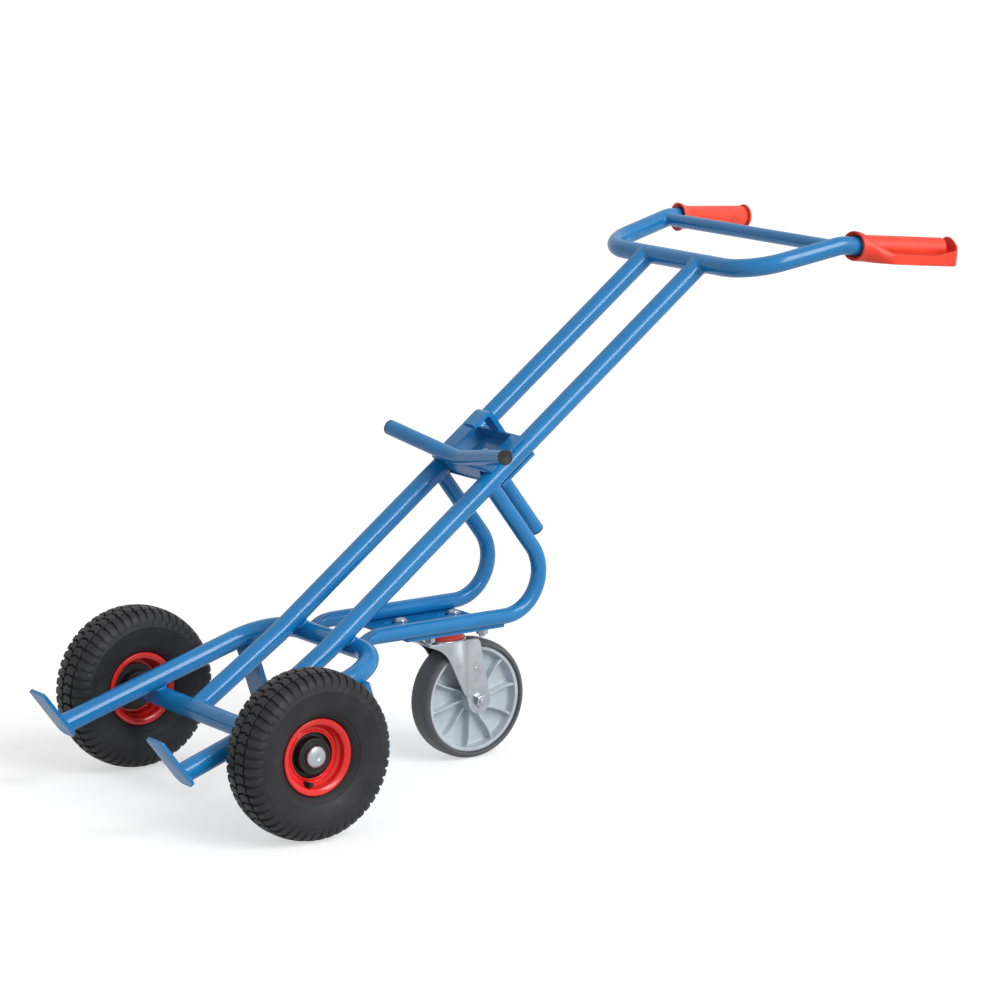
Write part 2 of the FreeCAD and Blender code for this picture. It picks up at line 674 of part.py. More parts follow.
def tread_notches():
    """The cutters all round both halves of the tread, staggered by half a pitch."""
    near = tread_notch()
    cutters = []
    for half, stagger in ((near, 0.0), (mirrored(near), 0.5)):
        for k in range(NOTCH_COUNT):
            turn = FreeCAD.Rotation(Vec(0, 1, 0), 360 * (k + stagger) / NOTCH_COUNT)
            cutters.append(moved(half, FreeCAD.Placement(Vec(0, 0, 0), turn)))
    return cutters


def tyre_inside(inset):
    """Half of the tyre's hollow, drawn in by an inset."""
    crown = TYRE_RADIUS - TYRE_CROWN - inset
    half = TYRE_HALF - TYRE_WALL - inset
    lip = RIM_LIP_RADIUS + RIM_LIP_ROLL
    return [(crown, 0), (crown - TREAD_DROP / 2, half - SHOULDER_DROP * 0.8),
            (TYRE_RADIUS - SHOULDER_DROP - TREAD_DROP, half - TREAD_DROP / 2), (TYRE_BELLY, half),
            (lip + SHOULDER_DROP, half - TREAD_DROP), (lip + TREAD_DROP, FLANGE_IN - BEAD_WIDTH / 2 - inset),
            (RIM_LIP_RADIUS, FLANGE_IN - BEAD_WIDTH - inset)]


def tyre():
    tread = [Vec(radius, along, 0) for radius, along in both_ways(tyre_tread())]
    inside = both_ways(tyre_inside(0))
    seat = RIM_SEAT_RADIUS + FIT_GAP
    heel = FLANGE_IN - FIT_GAP
    toe = FLANGE_IN - BEAD_WIDTH
    edges = [smooth(inside)] + Part.makePolygon(tread).Edges
    bead = [(RIM_LIP_RADIUS + RIM_LIP_ROLL + BEAD_LIP_GAP, RIM_HALF), (RIM_LIP_RADIUS + BEAD_LIP_GAP, heel),
            (seat, heel), (seat, toe), (RIM_LIP_RADIUS, toe)]
    for sign in (1, -1):
        edges += Part.makePolygon([Vec(radius, sign * along, 0) for radius, along in bead]).Edges
        edges.append(smooth([(radius, sign * along) for radius, along in tyre_sidewall()]))
    outline = Part.Wire(Part.__sortEdges__(edges))
    casing = Part.Face(outline).revolve(Vec(0, 0, 0), Vec(0, 1, 0), 360)
    return at_wheel(casing.cut(tread_notches()))


def inner_tube():
    well = RIM_SEAT_RADIUS + INNER_TUBE_GAP
    half = tyre_inside(INNER_TUBE_GAP) + [(well, RIM_WELL_WIDTH / 3)]
    outside = [(radius, -along) for radius, along in reversed(half[1:])] + half
    middle = (TYRE_RADIUS - TYRE_CROWN + well) / 2
    inside = []
    for radius, along in outside:
        share = INNER_TUBE_WALL / math.hypot(radius - middle, along)
        inside.append((radius + (middle - radius) * share, along * (1 - share)))
    solids = []
    for points in (outside, inside):
        face = Part.Face(Part.Wire(smooth(points, closed=True)))
        solids.append(face.revolve(Vec(0, 0, 0), Vec(0, 1, 0), 360))
    return at_wheel(solids[0].cut(solids[1]))


def valve_line():
    """Foot and direction of the valve stem, which leans outward from the rim's well."""
    angle = math.radians(VALVE_ANGLE)
    inward = Vec(-math.cos(angle), 0, -math.sin(angle))
    beside_web = Vec(0, RIM_WEB_OUT + RIM_WEB_THICKNESS + VALVE_RADIUS, 0)
    foot = inward * (RIM_WELL_DEPTH - RIM_SEAT_RADIUS) + beside_web
    tilt = math.radians(VALVE_TILT)
    return foot, inward * math.cos(tilt) + Vec(0, math.sin(tilt), 0)


def rim():
    seat_in = RIM_SEAT_RADIUS - RIM_SHEET
    well_out = RIM_SEAT_RADIUS - RIM_WELL_DEPTH
    well_in = well_out - RIM_SHEET
    well = RIM_WELL_WIDTH / 2
    slope = well + RIM_WELL_DEPTH
    collar = HUB_RADIUS + RIM_COLLAR_WALL
    web_out = RIM_WEB_OUT + RIM_WEB_THICKNESS
    barrel = [(RIM_LIP_RADIUS, FLANGE_IN), (RIM_SEAT_RADIUS, FLANGE_IN), (RIM_SEAT_RADIUS, slope),
              (well_out, well)]
    outer = barrel + [(radius, -along) for radius, along in reversed(barrel)]
    inner = [(RIM_LIP_RADIUS, -RIM_HALF), (seat_in, -RIM_HALF), (seat_in, -slope), (well_in, -well),
             (well_in, RIM_WEB_OUT), (collar, RIM_WEB_OUT), (collar, -RIM_COLLAR_WIDTH / 2),
             (HUB_RADIUS + FIT_GAP, -RIM_COLLAR_WIDTH / 2), (HUB_RADIUS + FIT_GAP, RIM_COLLAR_WIDTH / 2),
             (collar, RIM_COLLAR_WIDTH / 2), (collar, web_out), (well_in, web_out), (well_in, well),
             (seat_in, slope), (seat_in, RIM_HALF), (RIM_LIP_RADIUS, RIM_HALF)]
    shape = turned(outer + inner)
    for sign in (1, -1):
        roll = Part.makeTorus(RIM_LIP_RADIUS, RIM_LIP_ROLL, Vec(0, sign * RIM_HALF, 0), Vec(0, 1, 0))
        shape = shape.fuse(roll)
    foot, lean = valve_line()
    hole = rod(VALVE_RADIUS + FIT_GAP, foot - lean * RIM_WELL_DEPTH, foot + lean * VALVE_LENGTH)
    return at_wheel(shape.cut(hole))


def hub():
    shaft = AXLE_DIAMETER / 2 + HUB_BORE_GAP
    pocket = BEARING_RADIUS + FIT_GAP
    outer_floor = HUB_OUT - BEARING_WIDTH
    inner_floor = BEARING_WIDTH - HUB_IN
    profile = [(HUB_RADIUS, -HUB_IN), (HUB_RADIUS, HUB_OUT), (pocket, HUB_OUT), (pocket, outer_floor),
               (shaft, outer_floor), (shaft, inner_floor), (pocket, inner_floor), (pocket, -HUB_IN)]
    return at_wheel(turned(profile))


def bearings():
    bore = AXLE_DIAMETER / 2 + RUNNING_GAP
    pair = []
    for start in (HUB_OUT - BEARING_WIDTH, -HUB_IN):
        pair.append(sleeve(BEARING_RADIUS, bore, Vec(0, start, 0), Vec(0, start + BEARING_WIDTH, 0)))
    return at_wheel(Part.makeCompound(pair))


def valve():
    foot, lean = valve_line()
    neck = foot + lean * (VALVE_LENGTH * 0.65)
    stem = rod(VALVE_RADIUS, foot - lean * VALVE_RADIUS, neck)
    cap = rod(VALVE_RADIUS * 0.85, neck, foot + lean * VALVE_LENGTH)
    return at_wheel(stem.fuse(cap))


# Swivel castor
def castor_top_plate():
    half = Vec(CASTOR_PLATE_LENGTH / 2, CASTOR_PLATE_WIDTH / 2, 0)
    base = KINGPIN + Vec(0, 0, CASTOR_TOP - CASTOR_PLATE_THICKNESS)
    plate = block(base - half, base + half + Vec(0, 0, CASTOR_PLATE_THICKNESS))
    corners = [edge for edge in plate.Edges if abs(edge.Length - CASTOR_PLATE_THICKNESS) < SAME_SIZE]
    plate = plate.makeFillet(CASTOR_PLATE_ROUND, corners)
    race = sleeve(RACE_OUTER_RADIUS, RACE_INNER_RADIUS, base - Vec(0, 0, RACE_HEIGHT), base)
    plate = plate.fuse(race)
    top = Vec(0, 0, CASTOR_PLATE_THICKNESS)
    for place in bolt_places(base.z):
        plate = plate.cut(rod(BOLT_DIAMETER / 2 + BOLT_HOLE_GAP, place, place + top))
    return plate.cut(rod(KINGPIN_RADIUS + FIT_GAP, base, base + top))


def nut_face():
    """Height of the underside that the castor nuts' washers press on."""
    return CASTOR_TOP - CASTOR_PLATE_THICKNESS


def castor_bolts():
    bolts = []
    bottom = nut_face() - BOLT_WASHER_THICKNESS - NUT_HEIGHT - BOLT_END
    for place in bolt_places(MOUNT_PLATE_TOP + BOLT_WASHER_THICKNESS):
        head = shifted(hexagon(BOLT_HEAD_FLATS, BOLT_HEAD_HEIGHT), place)
        bolts.append(head.fuse(rod(BOLT_DIAMETER / 2, Vec(place.x, place.y, bottom), place)))
    return Part.makeCompound(bolts)


def castor_bolt_washers():
    washers = []
    for level in (MOUNT_PLATE_TOP, nut_face() - BOLT_WASHER_THICKNESS):
        for place in bolt_places(level):
            top = place + Vec(0, 0, BOLT_WASHER_THICKNESS)
            washers.append(sleeve(BOLT_WASHER_RADIUS, BOLT_DIAMETER / 2 + FIT_GAP, place, top))
    return Part.makeCompound(washers)


def castor_nuts():
    nuts = []
    for place in bolt_places(nut_face() - BOLT_WASHER_THICKNESS - NUT_HEIGHT):
        bore = rod(BOLT_DIAMETER / 2 + FIT_GAP, place, place + Vec(0, 0, NUT_HEIGHT))
        nuts.append(shifted(hexagon(BOLT_HEAD_FLATS, NUT_HEIGHT), place).cut(bore))
    return Part.makeCompound(nuts)


def kingpin_nut_base():
    return KINGPIN + Vec(0, 0, CROWN_TOP - FORK_SHEET - SIDE_GAP - KINGPIN_NUT_HEIGHT)


def castor_kingpin():
    return rod(KINGPIN_RADIUS, kingpin_nut_base(), KINGPIN + Vec(0, 0, CASTOR_TOP))


def castor_kingpin_nut():
    base = kingpin_nut_base()
    bore = rod(KINGPIN_RADIUS + FIT_GAP, base, base + Vec(0, 0, KINGPIN_NUT_HEIGHT))
    return shifted(hexagon(KINGPIN_NUT_FLATS, KINGPIN_NUT_HEIGHT), base).cut(bore)


def swivel_race():
    base = KINGPIN + Vec(0, 0, CROWN_TOP)
    return sleeve(RACE_OUTER_RADIUS, RACE_INNER_RADIUS, base, base + Vec(0, 0, RACE_HEIGHT))


def swivel_balls():
    balls = []
    ring_radius = (RACE_OUTER_RADIUS + RACE_INNER_RADIUS) / 2
    height = CROWN_TOP + RACE_HEIGHT + BALL_DIAMETER / 2
    for k in range(BALL_COUNT):
        turn = 2 * math.pi * k / BALL_COUNT
        place = KINGPIN + Vec(ring_radius * math.cos(turn), ring_radius * math.sin(turn), height)
        balls.append(Part.makeSphere(BALL_DIAMETER / 2, place))
    return Part.makeCompound(balls)


def swivel_ring():
    base = KINGPIN + Vec(0, 0, CROWN_TOP)
    inside = RACE_OUTER_RADIUS + RING_GAP
    return sleeve(inside + RING_WALL, inside, base, base + Vec(0, 0, RING_HEIGHT))


def fork_side():
    """Outline of a fork leg seen from the side, as a face on the centre plane."""
    top = CROWN_TOP
    eye = CASTOR_AXLE
    front = KINGPIN.x - FORK_FRONT
    back = KINGPIN.x + FORK_TOP_BACK
    eye_front = eye.x - FORK_EYE_RADIUS
    corners = [Vec(front, 0, top), Vec(back, 0, top), Vec(eye.x + FORK_EYE_RADIUS, 0, eye.z),
               Vec(eye_front, 0, eye.z)]
    for ahead, above in FORK_FRONT_EDGE:
        corners.append(Vec(eye_front - ahead, 0, eye.z + above))
    corners.append(Vec(front, 0, top - FORK_SHEET))
    leg = Part.Face(Part.makePolygon(corners + corners[:1]))
    circle = Part.Face(Part.Wire(Part.makeCircle(FORK_EYE_RADIUS, eye, Vec(0, 1, 0))))
    return leg.fuse(circle).removeSplitter()


def castor_fork():
    side = fork_side()
    legs = []
    for start in (FORK_INSIDE, -FORK_OUTSIDE):
        legs.append(shifted(side, Vec(0, start, 0)).extrude(Vec(0, FORK_SHEET, 0)))
    crown = block(Vec(KINGPIN.x - FORK_FRONT, -FORK_OUTSIDE, CROWN_TOP - FORK_SHEET),
                  Vec(KINGPIN.x + FORK_CROWN_BACK, FORK_OUTSIDE, CROWN_TOP))
    fork = crown.fuse(legs).removeSplitter()
    folds = [edge for edge in fork.Edges if is_top_fold(edge)]
    fork = fork.makeFillet(FORK_SHEET * 0.9, folds)
    up = Vec(0, 0, FORK_SHEET)
    base = KINGPIN + Vec(0, 0, CROWN_TOP - FORK_SHEET)
    fork = fork.cut(rod(KINGPIN_RADIUS + RUNNING_GAP, base, base + up))
    across = Vec(0, FORK_OUTSIDE, 0)
    return fork.cut(rod(CASTOR_BOLT_RADIUS + FIT_GAP, CASTOR_AXLE - across, CASTOR_AXLE + across))


def is_top_fold(edge):
    """True for the long outer edges where the crown turns down into the legs."""
    box = edge.BoundBox
    level = abs(box.ZMax - CROWN_TOP) < SAME_SIZE and box.ZLength < SAME_SIZE
    return level and box.YLength < SAME_SIZE and abs(abs(box.YMax) - FORK_OUTSIDE) < SAME_SIZE


def castor_axle_bolt():
    head = Vec(CASTOR_AXLE.x, FORK_OUTSIDE, CASTOR_AXLE.z)
    tail = Vec(CASTOR_AXLE.x, -FORK_OUTSIDE - CASTOR_NUT_HEIGHT - CASTOR_BOLT_END, CASTOR_AXLE.z)
    turn = FreeCAD.Placement(head, FreeCAD.Rotation(Vec(0, 0, 1), Vec(0, 1, 0)))
    hex_head = moved(hexagon(CASTOR_NUT_FLATS, CASTOR_BOLT_HEAD), turn)
    return rod(CASTOR_BOLT_RADIUS, tail, head).fuse(hex_head)


def castor_axle_nut():
    face = Vec(CASTOR_AXLE.x, -FORK_OUTSIDE, CASTOR_AXLE.z)
    turn = FreeCAD.Placement(face, FreeCAD.Rotation(Vec(0, 0, 1), Vec(0, -1, 0)))
    nut = moved(hexagon(CASTOR_NUT_FLATS, CASTOR_NUT_HEIGHT), turn)
    return nut.cut(rod(CASTOR_BOLT_RADIUS + FIT_GAP, face, face - Vec(0, CASTOR_NUT_HEIGHT, 0)))


def castor_spacer():
    reach = Vec(0, FORK_INSIDE, 0)
    return sleeve(SPACER_RADIUS, CASTOR_BOLT_RADIUS + FIT_GAP, CASTOR_AXLE - reach, CASTOR_AXLE + reach)


def castor_hub_half():
    return FORK_INSIDE - CASTOR_HUB_SIDE_GAP


def castor_bush():
    reach = Vec(0, castor_hub_half(), 0)
    return sleeve(BUSH_RADIUS, SPACER_RADIUS + RUNNING_GAP, CASTOR_AXLE - reach, CASTOR_AXLE + reach)


def castor_rib(turn):
    """One curved rib between hub and ring, as a flat blade across the wheel's width."""
    inner = CASTOR_HUB_RADIUS - RIB_ROOT
    outer = CORE_RADIUS - CORE_RING_THICKNESS + RIB_ROOT
    sweep = math.radians(RIB_SWEEP)
    sides = []
    for side in (-1, 1):
        points = []
        for radius, bow in ((inner, 0), ((inner + outer) / 2, sweep), (outer, sweep)):
            angle = turn + bow + side * RIB_THICKNESS / 2 / radius
            points.append(Vec(radius * math.cos(angle), -RIB_WIDTH / 2, radius * math.sin(angle)))
        sides.append(points)
    first, second = sides
    edges = [Part.Arc(*first).toShape(), Part.makeLine(first[2], second[2]), Part.Arc(*second).toShape(),
             Part.makeLine(second[0], first[0])]
    face = Part.Face(Part.Wire(Part.__sortEdges__(edges)))
    return face.extrude(Vec(0, RIB_WIDTH, 0))


def castor_core():
    ring_half = CORE_RING_WIDTH / 2
    web = CORE_WEB_THICKNESS / 2
    hub_half = castor_hub_half()
    ring_in = CORE_RADIUS - CORE_RING_THICKNESS
    bore = BUSH_RADIUS + FIT_GAP
    half = [(CORE_RADIUS, ring_half), (ring_in, ring_half), (ring_in, web), (CASTOR_HUB_RADIUS, web),
            (CASTOR_HUB_RADIUS, hub_half), (bore, hub_half)]
    profile = half + [(radius, -along) for radius, along in reversed(half)]
    ribs = [castor_rib(2 * math.pi * k / RIB_COUNT) for k in range(RIB_COUNT)]
    return shifted(turned(profile).fuse(ribs).removeSplitter(), CASTOR_AXLE)


def castor_tyre():
    radius = CASTOR_DIAMETER / 2
    seat = CORE_RADIUS + FIT_GAP
    half = CASTOR_WIDTH / 2
    profile = [(seat, CORE_RING_WIDTH / 2), (seat + CASTOR_SHOULDER / 4, half),
               (radius - CASTOR_SHOULDER, half),
               (radius - CASTOR_SHOULDER * 0.3, half - CASTOR_SHOULDER * 0.6),
               (radius, half - CASTOR_SHOULDER * 1.6)]
    profile += [(reach, -along) for reach, along in reversed(profile)]
    return shifted(turned(profile), CASTOR_AXLE)


# Sliding rim hook, built along the stiles and then tilted with them
def tray_section(inset):
    """Half width of the tray at its bottom and at the flange, drawn in by the sheet."""
    slope = (TRAY_TOP_HALF - TRAY_BOTTOM_HALF) / (FLANGE_BOTTOM - TRAY_BOTTOM)
    across = inset * math.hypot(1, slope)
    return TRAY_BOTTOM_HALF + inset * slope - across, TRAY_TOP_HALF + inset * slope - across


def hook_carriage():
    flange = STILE_Y + CARRIAGE_FLANGE_REACH
    low_out, top_out = tray_section(0)
    low_in, top_in = tray_section(SHEET)
    half = [(low_out, TRAY_BOTTOM), (top_out, FLANGE_BOTTOM), (flange, FLANGE_BOTTOM), (flange, FLANGE_TOP),
            (top_in, FLANGE_TOP), (low_in, TRAY_BOTTOM + SHEET)]
    points = half + [(-across, off) for across, off in reversed(half)]
    corners = [Vec(CARRIAGE_LOW, across, off) for across, off in points]
    tray = Part.Face(Part.makePolygon(corners + corners[:1])).extrude(Vec(CARRIAGE_LENGTH, 0, 0))
    short = [edge for edge in tray.Edges if abs(edge.Length - SHEET) < SAME_SIZE]
    outer_edges = [edge for edge in short if abs(abs(edge.CenterOfMass.y) - flange) < SAME_SIZE]
    tray = tray.makeFillet(CARRIAGE_CORNER, outer_edges)
    floor = TRAY_BOTTOM + SHEET
    end = [(-low_in, floor), (low_in, floor), (top_in, FLANGE_TOP), (-top_in, FLANGE_TOP)]
    for start in (CARRIAGE_LOW, CARRIAGE_HIGH - SHEET):
        corners = [Vec(start, across, off) for across, off in end]
        tray = tray.fuse(Part.Face(Part.makePolygon(corners + corners[:1])).extrude(Vec(SHEET, 0, 0)))
    hole = rod(CLAMP_BOLT_RADIUS + FIT_GAP, Vec(CLAMP_MIDDLE, 0, TRAY_BOTTOM), Vec(CLAMP_MIDDLE, 0, floor))
    return moved(tray.removeSplitter().cut(hole), STILE_FRAME)


def rim_hook():
    middle = CARRIAGE_HIGH + WELD_GAP + HOOK_THICKNESS / 2
    top = HOOK_HEIGHT - HOOK_THICKNESS / 2
    tip = CARRIAGE_HIGH + HOOK_THICKNESS - HOOK_LIP
    path = bent_path([Vec(middle, 0, TRAY_BOTTOM), Vec(middle, 0, top), Vec(tip, 0, top)], [HOOK_BEND_RADIUS])
    return moved(flat_bar(path, HOOK_WIDTH, HOOK_THICKNESS, Vec(0, 1, 0)), STILE_FRAME)


def cradle_path():
    angle = math.radians(CRADLE_ANGLE)
    along = CARRIAGE_LOW + SHEET
    lowest = FLANGE_TOP + WELD_GAP + CRADLE_OD / 2
    corner = lowest - CRADLE_BEND_RADIUS * (1 / math.cos(angle) - 1)
    tip = corner + CRADLE_HALF * math.tan(angle)
    points = [Vec(along, CRADLE_HALF, tip), Vec(along, 0, corner), Vec(along, -CRADLE_HALF, tip)]
    return bent_path(points, [CRADLE_BEND_RADIUS])


def cradle_bar():
    return moved(pipe(cradle_path(), CRADLE_OD, CRADLE_WALL), STILE_FRAME)


def end_plug(end, outward, outside, wall):
    """Push-in plug with a flange over the end of a tube."""
    flange = rod(outside / 2, end, end + outward * PLUG_FLANGE)
    return flange.fuse(rod(outside / 2 - wall - FIT_GAP, end - outward * PLUG_LENGTH, end)).removeSplitter()


def cradle_caps():
    path = cradle_path()
    last = path.OrderedEdges[-1]
    end = last.valueAt(last.LastParameter)
    plug = moved(end_plug(end, last.tangentAt(last.LastParameter), CRADLE_OD, CRADLE_WALL), STILE_FRAME)
    return Part.makeCompound([plug, mirrored(plug)])


def clamp_plate():
    low = Vec(CLAMP_LOW, -CLAMP_PLATE_HALF, CLAMP_BOTTOM)
    size = Vec(CLAMP_PLATE_LENGTH, 2 * CLAMP_PLATE_HALF, CLAMP_PLATE_THICKNESS)
    plate = block(low, low + size)
    middle = Vec(CLAMP_MIDDLE, 0, CLAMP_BOTTOM)
    hole = rod(CLAMP_BOLT_RADIUS + FIT_GAP, middle, middle + Vec(0, 0, CLAMP_PLATE_THICKNESS))
    return moved(plate.cut(hole), STILE_FRAME)


def clamp_bolt():
    base = Vec(CLAMP_MIDDLE, 0, TRAY_BOTTOM + SHEET)
    half_head = CLAMP_BOLT_HEAD_HEIGHT / 2
    edge = base + Vec(0, 0, half_head)
    head = rod(CLAMP_BOLT_HEAD_RADIUS, base, edge)
    dome = Part.makeCone(CLAMP_BOLT_HEAD_RADIUS, CLAMP_BOLT_HEAD_RADIUS * 0.6, half_head, edge)
    shank = rod(CLAMP_BOLT_RADIUS, base - Vec(0, 0, CLAMP_BOLT_LENGTH), base)
    return moved(shank.fuse([head, dome]).removeSplitter(), STILE_FRAME)


def clamp_handle_top():
    """Where the turning handle starts, just below the clamp plate."""
    return Vec(CLAMP_MIDDLE, 0, CLAMP_BOTTOM - SLIDE_GAP)


def clamp_handle():
    top = clamp_handle_top()
    bottom = top - Vec(0, 0, HANDLE_TUBE_LENGTH)
    return moved(sleeve(CRADLE_OD / 2, CRADLE_OD / 2 - CRADLE_WALL, top, bottom), STILE_FRAME)


def clamp_nut():
    top = clamp_handle_top()
    bottom = top - Vec(0, 0, CLAMP_NUT_LENGTH)
    nut = sleeve(CRADLE_OD / 2 - CRADLE_WALL - FIT_GAP, CLAMP_BOLT_RADIUS + RUNNING_GAP, top, bottom)
    return moved(nut, STILE_FRAME)


def clamp_handle_cap():
    bottom = clamp_handle_top() - Vec(0, 0, HANDLE_TUBE_LENGTH)
    return moved(end_plug(bottom, Vec(0, 0, -1), CRADLE_OD, CRADLE_WALL), STILE_FRAME)


# Pieces
SINGLE_PIECES = {
    "toe_frame": toe_frame, "axle_tube": axle_tube, "castor_mount_plate": castor_mount_plate,
    "handle_frame": handle_frame, "handle_cross_tube": handle_cross_tube,
    "wheel_axle": wheel_axle, "axle_washers": axle_washers, "axle_caps": axle_caps,
    "castor_top_plate": castor_top_plate, "castor_bolts": castor_bolts,
    "castor_bolt_washers": castor_bolt_washers, "castor_nuts": castor_nuts,
    "castor_kingpin": castor_kingpin, "castor_kingpin_nut": castor_kingpin_nut,
    "swivel_race": swivel_race, "swivel_balls": swivel_balls, "swivel_ring": swivel_ring,
    "castor_fork": castor_fork, "castor_axle_bolt": castor_axle_bolt, "castor_axle_nut": castor_axle_nut,
    "castor_spacer": castor_spacer, "castor_bush": castor_bush, "castor_core": castor_core,
    "castor_tyre": castor_tyre, "hook_carriage": hook_carriage, "rim_hook": rim_hook,
    "cradle_bar": cradle_bar, "cradle_caps": cradle_caps, "clamp_plate": clamp_plate,
    "clamp_bolt": clamp_bolt, "clamp_handle": clamp_handle, "clamp_nut": clamp_nut,
    "clamp_handle_cap": clamp_handle_cap,
}
PAIRED_PIECES = {
    "stile": stile, "toe_plate": toe_plate, "step_bar": step_bar, "castor_tube": castor_tube, "grip": grip,
    "tyre": tyre, "inner_tube": inner_tube, "rim": rim, "hub": hub, "bearings": bearings, "valve": valve,
}

os.makedirs("parts", exist_ok=True)
for name, make in SINGLE_PIECES.items():
    make().exportStep("parts/" + name + ".step")
for name, make in PAIRED_PIECES.items():
    right = make()
    right.exportStep("parts/right_" + name + ".step")
    mirrored(right).exportStep("parts/left_" + name + ".step")
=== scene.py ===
import json
import math
from collections import namedtuple

import bmesh
import bpy
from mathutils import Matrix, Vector


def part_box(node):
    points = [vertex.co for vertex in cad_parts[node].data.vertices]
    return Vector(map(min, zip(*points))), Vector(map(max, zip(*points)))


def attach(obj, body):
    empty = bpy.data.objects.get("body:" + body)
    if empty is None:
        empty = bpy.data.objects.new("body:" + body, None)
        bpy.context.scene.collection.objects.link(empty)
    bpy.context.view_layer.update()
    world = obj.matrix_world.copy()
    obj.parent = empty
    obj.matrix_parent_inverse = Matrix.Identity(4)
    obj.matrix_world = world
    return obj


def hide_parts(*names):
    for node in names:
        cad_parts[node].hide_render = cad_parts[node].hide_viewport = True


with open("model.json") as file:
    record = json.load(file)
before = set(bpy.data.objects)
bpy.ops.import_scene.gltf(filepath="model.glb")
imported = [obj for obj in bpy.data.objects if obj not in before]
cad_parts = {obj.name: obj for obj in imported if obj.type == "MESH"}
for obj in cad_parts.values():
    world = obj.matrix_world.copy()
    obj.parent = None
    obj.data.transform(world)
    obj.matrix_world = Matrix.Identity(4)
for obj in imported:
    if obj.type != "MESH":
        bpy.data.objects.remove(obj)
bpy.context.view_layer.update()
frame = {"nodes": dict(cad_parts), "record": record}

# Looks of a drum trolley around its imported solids. The shapes are written in millimetres and
# put into the scene in metres, angles in degrees. +X points to the handle, +Z up, left is -Y.
MM = 0.001
UP = Vector((0.0, 0.0, 1.0))
ACROSS = Vector((0.0, 1.0, 0.0))
FORWARD = Vector((-1.0, 0.0, 0.0))
SIDES = {"left": -1.0, "right": 1.0}

# Camera
CAMERA_PLACE = (-3.5416, -5.0348, 1.6398)
CAMERA_TURN = 35.27
CAMERA_DIP = 11.265
CAMERA_REACH = 100.0
SENSOR_WIDTH = 36.0
LENS = 141.72

# Stage and light
WHITE = (1.0, 1.0, 1.0, 1.0)
FLOOR_REACH = 40.0
FLOOR_WHITE = (0.6, 0.6, 0.6)
FLOOR_ROUGHNESS = 0.9
FLOOR_OWN_WHITE = 0.56
DOME_LIGHT = 0.45
STRIP_LIGHT = 0.95
STRIP_ANGLE = 20.0
STRIP_FROM = [(0.129, -0.906, 0.401), (0.227, -0.696, 0.682)]
SIDE_LIGHT = 0.60
SIDE_ANGLE = 90.0
SIDE_FROM = (0.52, -0.76, 0.38)

# Colours and gloss, as they look in plain light
BLUE = (0.010, 0.200, 0.490)
RED = (0.76, 0.020, 0.016)
GRIP_RED = (0.90, 0.050, 0.018)
RUBBER = (0.018, 0.018, 0.020)
GREY_RUBBER = (0.088, 0.092, 0.102)
GREY_PLASTIC = (0.50, 0.56, 0.61)
BLACK_PLASTIC = (0.014, 0.014, 0.015)
ZINC = (0.40, 0.435, 0.47)
STEEL = (0.42, 0.42, 0.43)
PAINT_GLOSS = 0.38
TYRE_GLOSS = 0.28
GLOSS_FADE = (0.5, 0.9)
EDGE_GLOSS = 0.05
NOISE_SPAN = (0.3, 0.7)

# Places of the solids
AXLE = Vector((-509.9, 0.0, 130.0))
WHEEL_Y = 257.0
STILE_TILT = math.radians(36.9)
ALONG_STILE = Vector((math.cos(STILE_TILT), 0.0, math.sin(STILE_TILT)))
OFF_STILE = Vector((-math.sin(STILE_TILT), 0.0, math.cos(STILE_TILT)))
STILE_SEAT = Vector((-325.143, 0.0, 253.966))
STILE_Y = 70.5
STILE_BEND = -37.0
MAIN_TUBE_RADIUS = 16.0
HANDLE_ALONG = 864.5
HANDLE_LEG = Vector((1.0, 0.19438, 0.20164))
HANDLE_RADIUS = 15.0
CROSS_TUBE = Vector((520.2, 223.93, 804.05))
CROSS_TUBE_RADIUS = 11.0
ARM_CORNER = Vector((-305.9, 161.5, 228.34))
ARM_TIP = Vector((-680.8, 178.5, 109.4))
TOE_PLANE = -371.18
KINGPIN = Vector((-94.9, 0.0, 0.0))
CASTOR_AXLE = Vector((-44.9, 0.0, 97.5))

# Steps round turned shapes, and the angle from which an edge stays sharp
TURN_STEPS = 48
CAP_STEPS = 72
RING_STEPS = 96
CORE_STEPS = 120
WHEEL_STEPS = 144
CORNER_STEPS = 3
WIDE_CORNER = 2.0
WIDE_CORNER_STEPS = 4
CORNER_SHARE = 0.45
AXIS_HOLE = 0.02
SHARP_EDGE = 35.0
SHARP_TYRE = 30.0
SHARP_HEX = 25.0
SHARP_GRIP = 50.0
SHARP_WELD = 60.0

# Cut plates
PLATE_ROUND = 0.8
PLATE_ROUND_STEPS = 2
PLATE_CORNER = 40.0
PLATE_MERGE = 0.002
EDGE_SHOULDER = 0.3
ROUNDED_PLATES = ["left_toe_plate", "right_toe_plate", "left_step_bar", "right_step_bar",
                  "castor_mount_plate", "castor_top_plate", "clamp_plate", "hook_carriage"]

# Tyre, as (radius, along the axle)
TYRE_OUTSIDE = [(130.0, 0.0), (128.8, 15.5), (124.0, 31.0), (113.0, 39.0), (94.5, 41.0), (72.6, 35.0),
                (60.0, 24.6)]
TYRE_INSIDE = [(57.0, 14.6), (65.0, 18.6), (76.0, 28.5), (94.5, 34.5), (107.0, 31.5), (115.5, 20.9),
               (118.5, 0.0)]
TYRE_BEAD = 59.0
TYRE_SEAT = 50.05
TYRE_HEEL = 22.55
PROFILE_STEPS = 40

